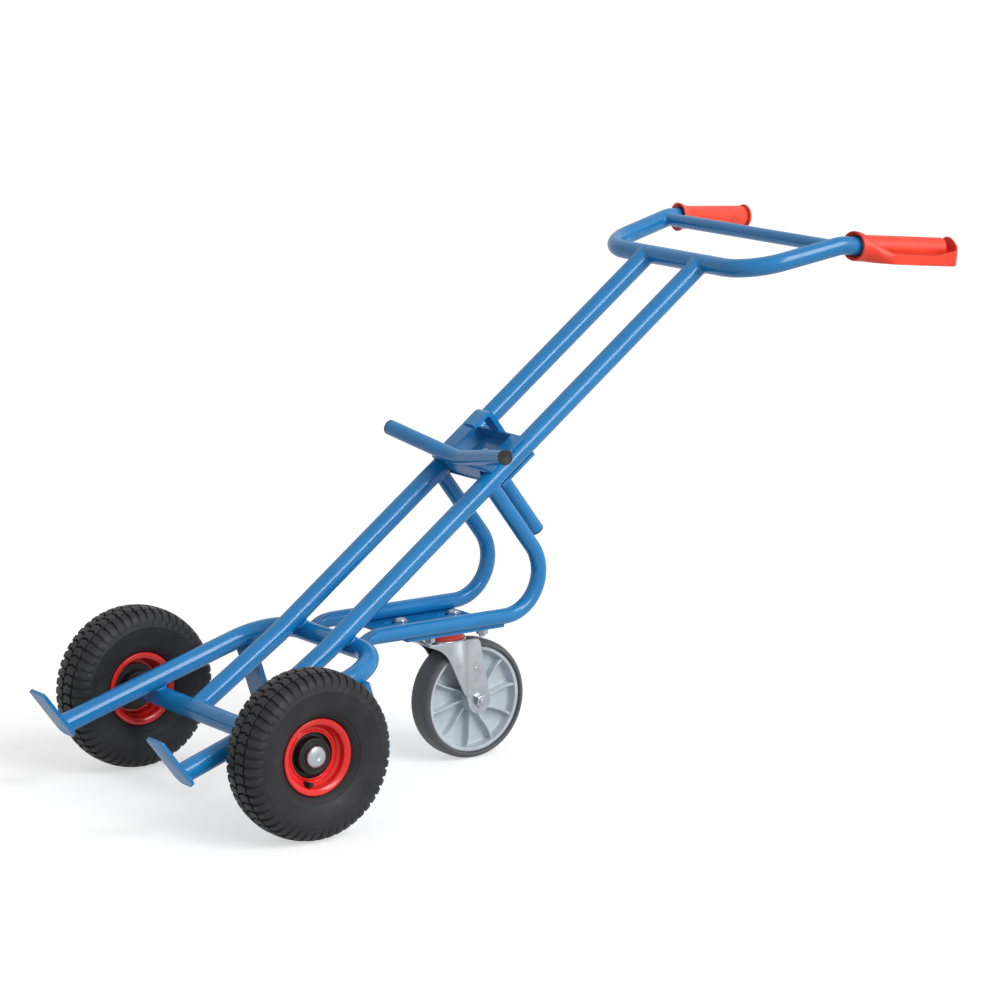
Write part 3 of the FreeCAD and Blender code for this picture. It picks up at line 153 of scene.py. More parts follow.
# Tread: rows at distances from the crown; notches and slants in shares of a pitch
TREAD_PITCHES = 52
TREAD_DEPTH = 4.2
TREAD_STAGGER = 0.5
LUG_EDGE = 0.4
LUG_ROUND = 0.035
NOTCH_FLOOR = 0.62
GROOVE_ROWS = (0.0, 0.9)
BLOCK_ROWS = (1.6, 2.3, 6.0, 9.6, 10.8, 12.0, 15.0, 19.3, 20.0)
BLOCK_MIDDLE = 10.8
BLOCK_HALF = 9.2
BLOCK_SLANT = 0.2
BLOCK_NOTCH = 0.12
RING_ROWS = (20.7, 22.6)
RING_NOTCH = 0.2
SHOULDER_ROWS = (23.3, 24.0, 27.0, 30.0, 33.5, 37.0, 41.0, 45.0, 49.0, 53.0)
SHOULDER_NOTCH = 0.23
SHOULDER_NARROWING = 0.17
SHOULDER_SLANT = 0.12
SHOULDER_FADE = 0.8
SHOULDER_SWEEP = 1.5
SIDEWALL_ROWS = (55.0, 55.8, 56.8, 57.6, 61.0, 65.0, 70.0, 76.0, 82.0, 87.0, 90.0, 90.8, 92.6, 93.4, 97.0,
                 101.0)
SIDEWALL_RINGS = {55.8: -0.35, 56.8: -0.35, 90.8: 0.7, 92.6: 0.7}
SIDEWALL_NOTCH = 0.05

# Rim, hub and axle cap, as (radius, outward)
RIM_OUTLINE = [(57.6, 22.8), (50.0, 22.6), (50.0, 14.0), (45.0, 9.0), (45.0, -9.0), (50.0, -14.0),
               (50.0, -22.6), (57.6, -22.8), (59.0, -24.6), (57.4, -26.4), (54.0, -25.6), (48.0, -22.4),
               (48.0, -14.0), (43.0, -9.0), (43.0, 3.0), (37.6, 3.0), (35.2, 5.4), (35.2, 9.4),
               (37.0, 9.6), (38.6, 7.0), (43.0, 7.0), (43.0, 9.0), (48.0, 14.0), (48.0, 22.4),
               (54.0, 25.6), (57.4, 26.4), (59.0, 24.6)]
HUB_OUTLINE = [(28.0, -20.0), (28.0, -3.0), (37.2, -3.0), (37.2, 2.9), (28.4, 2.9), (28.0, 16.4),
               (26.4, 18.0), (23.6, 18.0), (23.2, 17.0), (21.6, 17.0), (21.2, 18.0), (17.6, 18.0),
               (16.05, 16.6), (16.05, 6.0), (11.0, 6.0), (11.0, -8.0), (16.05, -8.0), (16.05, -20.0)]
CAP_OUTLINE = [(AXIS_HOLE, 21.0), (10.05, 21.0), (10.05, 18.4), (17.6, 18.4), (17.5, 20.0), (16.4, 23.0),
               (13.4, 25.2), (8.0, 26.2), (4.2, 26.4), (3.2, 25.6), (AXIS_HOLE, 25.4)]

# Valve, as (radius, along) from its foot in the rim's well
VALVE_ANGLE = -105.0
VALVE_TILT = 80.0
VALVE_SEAT = 45.0
VALVE_OUT = 8.0
VALVE_OUTLINE = [(AXIS_HOLE, -4.0), (4.6, -4.0), (5.4, 0.5), (5.0, 2.5), (4.1, 4.0), (3.7, 11.5),
                 (4.0, 11.8), (4.0, 16.6), (3.2, 18.0), (AXIS_HOLE, 18.0)]
VALVE_CAP_FROM = 11.7
FLUTE_STEPS = 4
FLUTE_DEPTH = 0.06

# Castor wheel; a rib's half section is (along the axle, half width)
CORE_OUTLINE = [(86.0, 19.0), (85.0, 20.0), (80.8, 20.0), (79.6, 18.6), (79.0, 5.0), (76.5, 2.5),
                (25.0, 2.5), (22.0, 5.0), (21.0, 8.0), (20.4, 28.0), (19.4, 29.0), (13.05, 29.0)]
CASTOR_TYRE_OUTLINE = [(86.05, 20.0), (87.6, 24.6), (90.0, 25.0), (95.0, 20.6), (97.3, 13.0), (97.5, 4.0)]
RIB_HALF = [(17.0, 0.55), (16.6, 1.1), (15.6, 1.45), (9.0, 1.75), (5.0, 2.1), (3.4, 2.9), (2.4, 4.6)]
RIB_COUNT = 10
RIB_FROM = 20.0
RIB_TO = 80.5
RIB_SWEEP = 9.0
RIB_STEPS = 16
RIB_FLARE = 1.3
HUB_FLARE = 5.0
RING_FLARE = 4.0

# Castor fork, as (x, z) seen from the side
FORK_TOP = [(-137.9, 199.6), (-80.0, 199.9)]
FORK_BACK = [(-52.0, 199.9), (-46.5, 198.6), (-42.6, 194.5), (-41.2, 188.0)]
FORK_FRONT = [(-65.9, 97.5), (-84.6, 135.5), (-101.2, 170.4), (-117.0, 186.8), (-137.9, 196.15)]
FORK_FRONT_STEPS = 20
FORK_EYE = 21.0
EYE_FROM = 10.0
EYE_SWEEP = 190.0
EYE_STEPS = 16
FORK_FOLD = -69.0
FOLD_SLOPE = 0.06
LEG_INNER = 30.0
LEG_OUTER = 34.0
LEG_EDGE = 0.6
FORK_CROWN = [(-66.9, 196.2), (-66.9, 200.1), (-137.9, 200.1), (-137.9, 196.2)]
CROWN_EDGE = 0.8
CROWN_RING = [(36.6, 199.9), (38.8, 199.9), (39.2, 201.6), (38.4, 203.2), (37.4, 203.4), (36.6, 202.6)]
DIMPLE = [(AXIS_HOLE, -0.5), (3.4, -0.5), (3.0, 0.6), (1.6, 1.3), (AXIS_HOLE, 1.4)]
DIMPLE_PLACE = Vector((-51.0, 34.0, 152.0))
SWIVEL_RING = [(32.6, 200.2), (35.6, 200.2), (36.1, 201.0), (36.1, 206.4), (35.6, 207.2), (36.1, 208.0),
               (36.1, 213.4), (35.6, 214.2), (32.6, 214.2)]

# Bolts, nuts and washers of the castor
HEX_FACE = 0.47
HEX_CHAMFER = 30.0
AXLE_BOLT = [(AXIS_HOLE, 0.0), (5.2, 0.0), (6.0, 0.8), (6.0, 79.0), (AXIS_HOLE, 79.0)]
AXLE_BOLT_TAIL = 45.0
AXLE_HEX = 19.0
AXLE_HEAD_HEIGHT = 7.0
AXLE_NUT_HEIGHT = 9.0
AXLE_NUT_BORE = 6.05
BOLT_SPACING = (102.0, 80.0)
BOLT_SEAT = 229.45
DOMED_BOLT = [(AXIS_HOLE, -25.0), (4.4, -25.0), (5.0, -24.2), (5.0, 0.0), (9.8, 0.0), (9.8, 1.0),
              (8.8, 2.5), (6.2, 3.7), (3.0, 4.3), (AXIS_HOLE, 4.4)]
NUT_SEAT = 216.45
NUT_HEX = 17.0
NUT_HEIGHT = 8.0
NUT_BORE = 5.05
WASHER_HEIGHT = 2.0
WASHER = [(NUT_BORE, 0.0), (12.0, 0.0), (12.0, WASHER_HEIGHT), (NUT_BORE, WASHER_HEIGHT)]

# Castor tubes
CASTOR_TUBE_ALONG = 341.0
CASTOR_TUBE_HEAD = -8.0
CASTOR_TUBE_BELOW = -80.0
CASTOR_TUBE_RADIUS = 12.5
CASTOR_TUBE_BEND = 67.0
CASTOR_RUN_Z = 240.0
NOSE_REACH = 66.0
NOSE_LIFT = 6.0
NOSE_FALL = 0.0085
NOSE_ROUND = 2.5
BEND_STEPS = 32
NOSE_STEPS = 40

# Cradle bar, clamp and end plugs
CRADLE_ALONG = 350.5
CRADLE_TIP = 65.13
CRADLE_HALF = 159.0
CRADLE_TILT = 12.4
CRADLE_BEND = 110.0
CRADLE_RADIUS = 12.5
CRADLE_STEPS = 24
CLAMP_ALONG = 393.0
CLAMP_END = -167.6
CLAMP_BOLT_SEAT = -1.0
CLAMP_BOLT = [(AXIS_HOLE, -60.0), (6.0, -60.0), (6.0, 0.0), (12.0, 0.0), (12.0, 2.2), (10.6, 4.2),
              (7.4, 5.6), (3.5, 6.0), (AXIS_HOLE, 6.0)]
PLUG = [(AXIS_HOLE, -12.0), (10.1, -12.0), (10.1, 0.0), (12.5, 0.0), (12.5, 2.0), (11.7, 3.0), (9.6, 3.0),
        (9.0, 2.4), (AXIS_HOLE, 2.4)]

# Grips, on the left-hand end of the handle
GRIP_BEND = Vector((530.2, -225.88, 806.07))
GRIP_LINE = Vector((1.0, -0.19438, -0.08749))
GRIP_START = 19.0
GRIP_END = 180.0
GRIP_OUTLINE = [(15.05, 164.0), (15.05, 14.0), (16.5, 7.0), (21.5, 1.0), (22.8, 0.2), (24.15, 1.2),
                (23.6, 4.0), (21.0, 12.0), (19.2, 20.0), (18.65, 28.0), (18.65, 164.5), (17.4, 168.0),
                (AXIS_HOLE, 168.0), (AXIS_HOLE, 164.0)]
COLLAR_RADIUS = 23.0
COLLAR_FROM = 80.0
COLLAR_SWEEP = 170.0
MOUTH_SLANT = 7.5
MOUTH_SET_BACK = 0.4
MOUTH_LENGTH = 40.0
GUARD_SIDE = 36.65
GUARD_SHEET = 3.0
GUARD_ROUND = 0.4
GUARD_FLAT_FROM = 66.0
GUARD_CORNER = 12.0
GUARD_HIGH = -9.0
GUARD_LOW = -23.0
GUARD_CORNER_HIGH = -1.0
GUARD_RISE_LENGTH = 32.0
GUARD_END_RADIUS = 19.5
GUARD_END_SLANT = 6.0
GUARD_END_SWEEP = 86.0
GUARD_FUNNEL_STEPS = 14
GUARD_SIDE_STEPS = 10
GUARD_CORNER_STEPS = 8
GUARD_END_STEPS = 20
GUARD_DOWN_STEPS = 10

# Welds; a ripple is its share of the size and its turn at each step
WELD_STEPS = 72
LARGE_SEAM = 5.0
SMALL_SEAM = 4.5
FILLET_STEPS = 5
FILLET_FULLNESS = 0.16
FILLET_SINK = 0.06
FILLET_ROOT = 0.4
FILLET_RIPPLE = [(0.06, 1.9), (0.04, 0.7)]
BEAD_REACH = 9.5
BEAD_SIZE = 2.8
BEAD_SIDES = 8
BEAD_RIPPLE = [(0.10, 1.9), (0.05, 0.7)]


# Materials
def new_node(tree, kind, inputs):
    """Shader node of a kind, with some of its inputs set."""
    node = tree.nodes.new("ShaderNode" + kind)
    for name, value in inputs.items():
        node.inputs[name].default_value = value
    return node


def new_material(name, colour, roughness, metallic=0.0, gloss=0.5):
    """Principled material with its node tree, shader and texture coordinates."""
    material = bpy.data.materials.new(name)
    material.use_nodes = True
    tree = material.node_tree
    shader = tree.nodes["Principled BSDF"]
    shader.inputs["Base Color"].default_value = (*colour, 1.0)
    shader.inputs["Roughness"].default_value = roughness
    shader.inputs["Metallic"].default_value = metallic
    shader.inputs["Specular IOR Level"].default_value = gloss
    place = tree.nodes.new("ShaderNodeTexCoord")
    return material, tree, shader, place.outputs["Object"]


def noise(tree, place, scale, detail=2.0):
    """Noise texture on object coordinates; scale is in features per metre."""
    node = new_node(tree, "TexNoise", {"Scale": scale, "Detail": detail})
    tree.links.new(place, node.inputs["Vector"])
    return node.outputs["Fac"]


def mapped(tree, factor, span, low, high):
    """Factor brought from a span of its values to the range from low to high."""
    limits = {"From Min": span[0], "From Max": span[1], "To Min": low, "To Max": high}
    node = new_node(tree, "MapRange", limits)
    tree.links.new(factor, node.inputs["Value"])
    return node.outputs["Result"]


def combined(tree, operation, first, second):
    """Two factors put together by a plain operation."""
    node = tree.nodes.new("ShaderNodeMath")
    node.operation = operation
    tree.links.new(first, node.inputs[0])
    tree.links.new(second, node.inputs[1])
    return node.outputs["Value"]


def vary_colour(tree, shader, factor, colour, dark, light):
    """Base colour that wanders between a darker and a lighter share of a colour."""
    ramp = tree.nodes.new("ShaderNodeValToRGB")
    for stop, position, share in zip(ramp.color_ramp.elements, NOISE_SPAN, (dark, light)):
        stop.position = position
        stop.color = (*(channel * share for channel in colour), 1.0)
    tree.links.new(factor, ramp.inputs["Fac"])
    tree.links.new(ramp.outputs["Color"], shader.inputs["Base Color"])


def vary_roughness(tree, shader, factor, roughness, low, high):
    """Roughness that wanders between two shares of a value."""
    spread = mapped(tree, factor, NOISE_SPAN, roughness * low, roughness * high)
    tree.links.new(spread, shader.inputs["Roughness"])


def bump(tree, shader, height, depth, strength=1.0):
    """Surface relief of a depth in millimetres."""
    node = new_node(tree, "Bump", {"Strength": strength, "Distance": depth * MM})
    tree.links.new(height, node.inputs["Height"])
    tree.links.new(node.outputs["Normal"], shader.inputs["Normal"])


def soften_edge_gloss(tree, shader, gloss):
    """Gloss that fades where the surface turns away, so that no harsh line is left there."""
    facing = tree.nodes.new("ShaderNodeLayerWeight").outputs["Facing"]
    fading = mapped(tree, facing, GLOSS_FADE, gloss, EDGE_GLOSS * gloss)
    tree.links.new(fading, shader.inputs["Specular IOR Level"])


def powder_coat(name, colour, roughness):
    """Gloss powder coat: slight orange peel, faint cloudiness of tone and gloss."""
    material, tree, shader, place = new_material(name, colour, roughness, gloss=PAINT_GLOSS)
    vary_colour(tree, shader, noise(tree, place, scale=14.0, detail=3.0), colour, dark=0.93, light=1.06)
    vary_roughness(tree, shader, noise(tree, place, scale=60.0), roughness, low=0.85, high=1.2)
    bump(tree, shader, noise(tree, place, scale=90.0, detail=1.0), depth=0.002)
    soften_edge_gloss(tree, shader, PAINT_GLOSS)
    return material


def moulded(name, colour, roughness, grain, relief, gloss=0.5):
    """Moulded plastic or rubber: fine grain and a dusty wander of tone."""
    material, tree, shader, place = new_material(name, colour, roughness, gloss=gloss)
    vary_colour(tree, shader, noise(tree, place, scale=22.0, detail=4.0), colour, dark=0.82, light=1.15)
    vary_roughness(tree, shader, noise(tree, place, scale=35.0, detail=3.0), roughness, low=0.88, high=1.12)
    bump(tree, shader, noise(tree, place, scale=grain, detail=3.0), depth=relief)
    return material


def ringed_rubber(name, colour, roughness):
    """Tyre rubber: fine grain, dusty patches and faint moulded rings round the axle."""
    material, tree, shader, place = new_material(name, colour, roughness, gloss=TYRE_GLOSS)
    vary_colour(tree, shader, noise(tree, place, scale=26.0, detail=5.0), colour, dark=0.68, light=1.35)
    vary_roughness(tree, shader, noise(tree, place, scale=35.0, detail=3.0), roughness, low=0.85, high=1.12)
    rings = new_node(tree, "TexWave", {"Scale": 26.0})
    rings.wave_type = "RINGS"
    rings.rings_direction = "Y"
    tree.links.new(place, rings.inputs["Vector"])
    grain = noise(tree, place, scale=600.0, detail=3.0)
    bump(tree, shader, combined(tree, "ADD", rings.outputs["Fac"], grain), depth=0.09)
    return material


def plated(name, colour, roughness):
    """Plated metal: soft patches of gloss and fine drawn marks."""
    material, tree, shader, place = new_material(name, colour, roughness, metallic=1.0)
    patches = noise(tree, place, scale=45.0, detail=4.0)
    vary_colour(tree, shader, patches, colour, dark=0.86, light=1.08)
    vary_roughness(tree, shader, patches, roughness, low=0.75, high=1.3)
    bump(tree, shader, noise(tree, place, scale=900.0), depth=0.02, strength=0.4)
    return material


# Finish of each slot: name, colour and roughness, then grain, relief and gloss of what is moulded
MATERIALS = {
    "blue_paint": powder_coat("blue_powder_coat", BLUE, 0.17),
    "rim_red": powder_coat("red_rim_paint", RED, 0.18),
    "grip_red": moulded("red_grip_plastic", GRIP_RED, 0.42, 900.0, 0.05),
    "swivel_red": moulded("red_ring_plastic", GRIP_RED, 0.35, 700.0, 0.03),
    "tyre_rubber": ringed_rubber("black_tyre_rubber", RUBBER, 0.55),
    "tube_rubber": moulded("black_tube_rubber", RUBBER, 0.7, 500.0, 0.05, 0.3),
    "castor_rubber": moulded("grey_castor_rubber", GREY_RUBBER, 0.6, 800.0, 0.04),
    "castor_grey": moulded("grey_castor_plastic", GREY_PLASTIC, 0.42, 700.0, 0.04),
    "black_plastic": moulded("black_plastic", BLACK_PLASTIC, 0.4, 900.0, 0.04, 0.3),
    "zinc": plated("zinc_plate", ZINC, 0.3),
    "bearing_steel": plated("bearing_steel", STEEL, 0.25),
}


def paint_cad_nodes():
    """Every solid that stays in view takes the finish of its slot in the record."""
    for entry in frame["record"]["subparts"]:
        mesh = frame["nodes"][entry["node"]].data
        mesh.materials.clear()
        mesh.materials.append(MATERIALS[entry["material_slot"]])


def round_plate_edges():
    """Small rounds on the edges of plates that stay as the solids give them."""
    for node in ROUNDED_PLATES:
        obj = frame["nodes"][node]
        weld = obj.modifiers.new("close_seams", "WELD")
        weld.merge_threshold = PLATE_MERGE * MM
        rounding = obj.modifiers.new("round_edges", "BEVEL")
        rounding.width = PLATE_ROUND * MM
        rounding.segments = PLATE_ROUND_STEPS
        rounding.limit_method = "ANGLE"
        rounding.angle_limit = math.radians(PLATE_CORNER)
        rounding.harden_normals = True


# Meshes and pieces
def new_mesh(name, points, faces, sharp):
    """Mesh from points in millimetres, smooth but for edges sharper than an angle."""
    mesh = bpy.data.meshes.new(name)
    mesh.from_pydata([Vector(point) * MM for point in points], [], faces)
    mesh.validate()
    shell = bmesh.new()
    shell.from_mesh(mesh)
    bmesh.ops.recalc_face_normals(shell, faces=shell.faces)
    shell.to_mesh(mesh)
    shell.free()
    mesh.shade_smooth()
    mesh.set_sharp_from_angle(angle=math.radians(sharp))
    return mesh


def put_in_scene(name, data):
    obj = bpy.data.objects.new(name, data)
    bpy.context.scene.collection.objects.link(obj)
    return obj


def add_piece(name, mesh, slot, body, *replaced, place=(0.0, 0.0, 0.0)):
    """Put a mesh in the scene on a body, in place of the solids it stands for."""
    mesh.materials.clear()
    mesh.materials.append(MATERIALS[slot])
    obj = put_in_scene(name, mesh)
    obj.location = place
    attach(obj, body)
    if replaced:
        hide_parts(*replaced)


def add_shell(name, shell, slot, body, *replaced, sharp=SHARP_EDGE):
    add_piece(name, new_mesh(name, *shell, sharp), slot, body, *replaced)


# Places
def centre_of(node):
    low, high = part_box(node)
    return (low + high) / 2


def wheel_place(side):
    return AXLE + ACROSS * (SIDES[side] * WHEEL_Y)


def on_stile(along, off, across=0.0):
    """Point along the stiles, off their plane and across the trolley."""
    return STILE_SEAT + ALONG_STILE * along + OFF_STILE * off + ACROSS * across


# Curves and rings
def spline(points, share):
    """Point on a smooth curve through the points; share runs from 0 to 1 along them."""
    reach = share * (len(points) - 1)
    first = min(int(reach), len(points) - 2)
    t = reach - first
    padded = [points[0], *points, points[-1]]
    place = []
    for a, b, c, d in zip(*padded[first:first + 4]):
        place.append(0.5 * (2 * b + (c - a) * t + (2 * a - 5 * b + 4 * c - d) * t ** 2
                            + (3 * b - a - 3 * c + d) * t ** 3))
    return tuple(place)


def drawn_to(corner, start, end, share):
    """Point on the soft curve from start to end that leaves each towards the corner."""
    return start * (1 - share) ** 2 + corner * (2 * share * (1 - share)) + end * share ** 2


def smooth_step(share):
    share = min(max(share, 0.0), 1.0)
    return share * share * (3 - 2 * share)


def softened(outline, radius):
    """Closed outline with its corners rounded."""
    steps = WIDE_CORNER_STEPS if radius > WIDE_CORNER else CORNER_STEPS
    smooth = []
    for index, point in enumerate(outline):
        corner = Vector(point)
        back = Vector(outline[index - 1]) - corner
        onward = Vector(outline[(index + 1) % len(outline)]) - corner
        reach = min(radius, CORNER_SHARE * back.length, CORNER_SHARE * onward.length)
        start = corner + back.normalized() * reach
        end = corner + onward.normalized() * reach
        smooth += [tuple(drawn_to(corner, start, end, share)) for share in shares(steps)]
    return smooth


def neighbours(items, index):
    """The items before and after one; at an end the item itself stands in."""
    return items[max(index - 1, 0)], items[min(index + 1, len(items) - 1)]


def shares(steps, first=0):
    """Even shares up to 1, from 0 or from a later step."""
    return [step / steps for step in range(first, steps + 1)]


def both_sides(half):
    """Outline of a half and its mirror image."""
    return half + [(first, -second) for first, second in reversed(half)]


def spokes(first, second, steps):
    """Directions all the way round in the plane of two directions."""
    turns = [math.tau * step / steps for step in range(steps)]
    return [first * math.cos(turn) + second * math.sin(turn) for turn in turns]


def spokes_about(axis, steps):
    """Directions all the way round an axis."""
    first = axis.orthogonal().normalized()
    return spokes(first, axis.cross(first), steps)


def ring_about(place, first, second, radius, steps=TURN_STEPS):
    """Ring of points round a place, in the plane of two directions."""
    return [place + spoke * radius for spoke in spokes(first, second, steps)]


# Shells, each a list of points and a list of faces
def closed_rings(rings):
    """Shell through rings of points, closed both ways as a tyre is."""
    columns = len(rings[0])
    faces = []
    for row in range(len(rings)):
        above = (row + 1) % len(rings)
        for column in range(columns):
            beside = (column + 1) % columns
            faces.append((row * columns + column, above * columns + column,
                          above * columns + beside, row * columns + beside))
    return [point for ring in rings for point in ring], faces


def capped_tube(rings):
    """Shell through rings of points, closed by a flat cap at each end."""
    points, faces = closed_rings(rings)
    columns = len(rings[0])
    last = (len(rings) - 1) * columns
    faces = [face for face in faces if max(face) - min(face) < 2 * columns]
    faces.append(tuple(range(columns)))
    faces.append(tuple(range(last + columns - 1, last - 1, -1)))
    return points, faces


def turned(outline, place, axis, corner, steps=TURN_STEPS):
    """Shell of a closed outline of (radius, along), its corners rounded, turned about an axis."""
    axis = axis.normalized()
    around = spokes_about(axis, steps)
    rings = []
    for radius, along in softened(outline, corner):
        rings.append([place + axis * along + spoke * radius for spoke in around])
    return closed_rings(rings)


def joined(shells):
    """Several shells as one."""
    points, faces = [], []
    for shell_points, shell_faces in shells:
        start = len(points)
        points += shell_points
        faces += [tuple(corner + start for corner in face) for face in shell_faces]
    return points, faces


def mirrored(shell):
    """The shell on the other side of the trolley."""
    points, faces = shell
    return [Vector((x, -y, z)) for x, y, z in points], [face[::-1] for face in faces]


def plate(outline, start, end, edge):
    """Flat plate across the trolley from an outline of (x, z), with its edges rounded."""
    shoulder = EDGE_SHOULDER * edge
    rings = []
    for across, inset in ((start, edge), (start + shoulder, shoulder), (start + edge, 0.0),
                          (end - edge, 0.0), (end - shoulder, shoulder), (end, edge)):
        ring = []
        for index, point in enumerate(outline):
            line = Vector(outline[(index + 1) % len(outline)]) - Vector(outline[index - 1])
            inward = Vector((-line.y, line.x)).normalized()
            place = Vector(point) + inward * inset
            ring.append(Vector((place.x, across, place.y)))
        rings.append(ring)
    return capped_tube(rings)


def hexagon_reach(flats, turn):
    """Distance from the middle of a hexagon to its side in a direction."""
    sixth = math.pi / 3
    return flats / 2 / math.cos((turn + sixth / 2) % sixth - sixth / 2)


def hex_nut(flats, height, bore, place, axis):
    """Nut or bolt head with the round chamfer that a turned hexagon shows."""
    face = HEX_FACE * flats
    rings = [[], [], [], [], []]
    for step, spoke in enumerate(spokes_about(axis, TURN_STEPS)):
        side = hexagon_reach(flats, math.tau * step / TURN_STEPS)
        drop = (side - face) * math.tan(math.radians(HEX_CHAMFER))
        reaches = (bore, side, side, face, bore)
        heights = (0, 0, height - drop, height, height)
        for ring, reach, along in zip(rings, reaches, heights):
            ring.append(place + axis * along + spoke * reach)
    return closed_rings(rings)


# Pneumatic tyre; a row is a ring of points with the depths of its land and notches
TreadRow = namedtuple("TreadRow", "distance land notch half_notch phase")


def tyre_line():
    """Outside of the tyre from crown to rim as (distance, radius, along, outward direction)."""
    other_half = [(radius, -along) for radius, along in reversed(TYRE_OUTSIDE)]
    points = other_half + TYRE_OUTSIDE[1:]
    steps = (len(TYRE_OUTSIDE) - 1) * PROFILE_STEPS
    samples = [Vector(spline(points, 0.5 + 0.5 * share)) for share in shares(steps)]
    line = []
    travelled = 0.0
    for index, here in enumerate(samples):
        before, after = neighbours(samples, index)
        along = (after - before).normalized()
        travelled += (here - before).length
        line.append((travelled, here.x, here.y, Vector((along.y, -along.x))))
    return line


def at_distance(line, distance):
    """Place on the tyre's outside at a distance from the crown."""
    return next((sample for sample in line if sample[0] >= distance), line[-1])


def block_phase(distance):
    """Chevron slant of the notches between the middle blocks, in pitches."""
    return BLOCK_SLANT * abs(distance - BLOCK_MIDDLE) / BLOCK_HALF


def tread_rows():
    """Rows from crown to rim: middle groove, blocks, ring groove, shoulder ribs, sidewall."""
    rows = []
    for distance in GROOVE_ROWS:
        rows.append(TreadRow(distance, TREAD_DEPTH, TREAD_DEPTH, BLOCK_NOTCH, block_phase(BLOCK_ROWS[0])))
    for distance in BLOCK_ROWS:
        land = LUG_EDGE if distance in (BLOCK_ROWS[0], BLOCK_ROWS[-1]) else 0.0
        rows.append(TreadRow(distance, land, TREAD_DEPTH, BLOCK_NOTCH, block_phase(distance)))
    for distance in RING_ROWS:
        rows.append(TreadRow(distance, TREAD_DEPTH, TREAD_DEPTH, RING_NOTCH, BLOCK_SLANT))
    first, last = SHOULDER_ROWS[0], SHOULDER_ROWS[-1]
    for distance in SHOULDER_ROWS:
        share = (distance - first) / (last - first)
        land = LUG_EDGE if distance == first else 0.0
        notch = TREAD_DEPTH * (1 - share) ** SHOULDER_FADE
        half_notch = SHOULDER_NOTCH - SHOULDER_NARROWING * share
        slant = BLOCK_SLANT + SHOULDER_SLANT * share ** SHOULDER_SWEEP
        rows.append(TreadRow(distance, land, notch, half_notch, slant))
    for distance in SIDEWALL_ROWS:
        sunk = SIDEWALL_RINGS.get(distance, 0.0)
        rows.append(TreadRow(distance, sunk, sunk, SIDEWALL_NOTCH, BLOCK_SLANT + SHOULDER_SLANT))
    return rows


def pitch_columns(row):
    """Shares and depths of a row's points in one pitch: notch floor, then land."""
    half = row.half_notch
    floor = half * NOTCH_FLOOR
    inset = half + LUG_ROUND
    edge = min(row.land + LUG_EDGE, row.notch)
    places = (-floor, floor, half, inset, 0.5, 1 - inset, 1 - half)
    depths = (row.notch, row.notch, edge, row.land, row.land, row.land, edge)
    return list(zip(places, depths))


def tread_ring(row, line, side):
    """Points of a row right round the tyre, on one side of its middle."""
    _, radius, along, outward = at_distance(line, row.distance)
    stagger = TREAD_STAGGER if side < 0 else 0.0
    ring = []
    for pitch in range(TREAD_PITCHES):
        for share, depth in pitch_columns(row):
            turn = math.tau * (pitch + share + row.phase + stagger) / TREAD_PITCHES
            reach = radius - outward.x * depth
            across = side * (along - outward.y * depth)
            ring.append((reach * math.cos(turn), across, reach * math.sin(turn)))
    return ring


def tyre_mesh():
    """Hollow tyre: a closed grid of rings with chevron blocks and ribbed shoulders."""
    line = tyre_line()
    rows = tread_rows()
    rings = [tread_ring(row, line, -1) for row in reversed(rows)]
    rings += [tread_ring(row, line, 1) for row in rows[1:]]
    columns = len(rings[0])
    hidden = [(TYRE_BEAD, TYRE_HEEL), (TYRE_SEAT, TYRE_HEEL), (TYRE_SEAT, TYRE_INSIDE[0][1])] + TYRE_INSIDE
    closing = hidden + [(radius, -along) for radius, along in reversed(hidden[:-1])]
    turns = [math.tau * column / columns for column in range(columns)]
    for radius, along in closing:
        rings.append([(radius * math.cos(turn), along, radius * math.sin(turn)) for turn in turns])
    return new_mesh("tyre", *closed_rings(rings), SHARP_TYRE)


def add_tyres():
    mesh = tyre_mesh()
    for side in SIDES:
        node = side + "_tyre"
        add_piece(side + "_treaded_tyre", mesh, "tyre_rubber", side + "_wheel", node, place=centre_of(node))


# Rims, hubs, caps and valves
def on_wheel(outline, side, corner, steps):
    """Outline of (radius, outward) turned on a wheel's axis."""
    return turned(outline, wheel_place(side), ACROSS * SIDES[side], corner, steps)


def add_rims_and_hubs():
    for side in SIDES:
        rim = on_wheel(RIM_OUTLINE, side, corner=2.4, steps=WHEEL_STEPS)
        add_shell(side + "_pressed_rim", rim, "rim_red", side + "_wheel", side + "_rim")
        hub = on_wheel(HUB_OUTLINE, side, corner=0.5, steps=RING_STEPS)
        add_shell(side + "_ringed_hub", hub, "black_plastic", side + "_wheel", side + "_hub")


def add_axle_caps():
    caps = [on_wheel(CAP_OUTLINE, side, corner=0.6, steps=CAP_STEPS) for side in SIDES]
    add_shell("domed_axle_caps", joined(caps), "zinc", "frame", "axle_caps")


def valve_shell():
    """Right-hand valve: rubber foot, stem and a fluted cap, leaning out of the rim's well."""
    angle = math.radians(VALVE_ANGLE)
    tilt = math.radians(VALVE_TILT)
    inward = Vector((-math.cos(angle), 0.0, -math.sin(angle)))
    lean = inward * math.cos(tilt) + ACROSS * math.sin(tilt)
    foot = wheel_place("right") - inward * VALVE_SEAT + ACROSS * VALVE_OUT
    points, faces = turned(VALVE_OUTLINE, foot, lean, corner=0.3)
    fluted = []
    for index, point in enumerate(points):
        along = (point - foot).dot(lean)
        spoke = point - foot - lean * along
        if along > VALVE_CAP_FROM and index % FLUTE_STEPS < FLUTE_STEPS / 2:
            point = point - spoke * FLUTE_DEPTH
        fluted.append(point)
    return fluted, faces


def add_valves():
    right = valve_shell()
    add_shell("right_capped_valve", right, "tube_rubber", "right_wheel", "right_valve")
    add_shell("left_capped_valve", mirrored(right), "tube_rubber", "left_wheel", "left_valve")


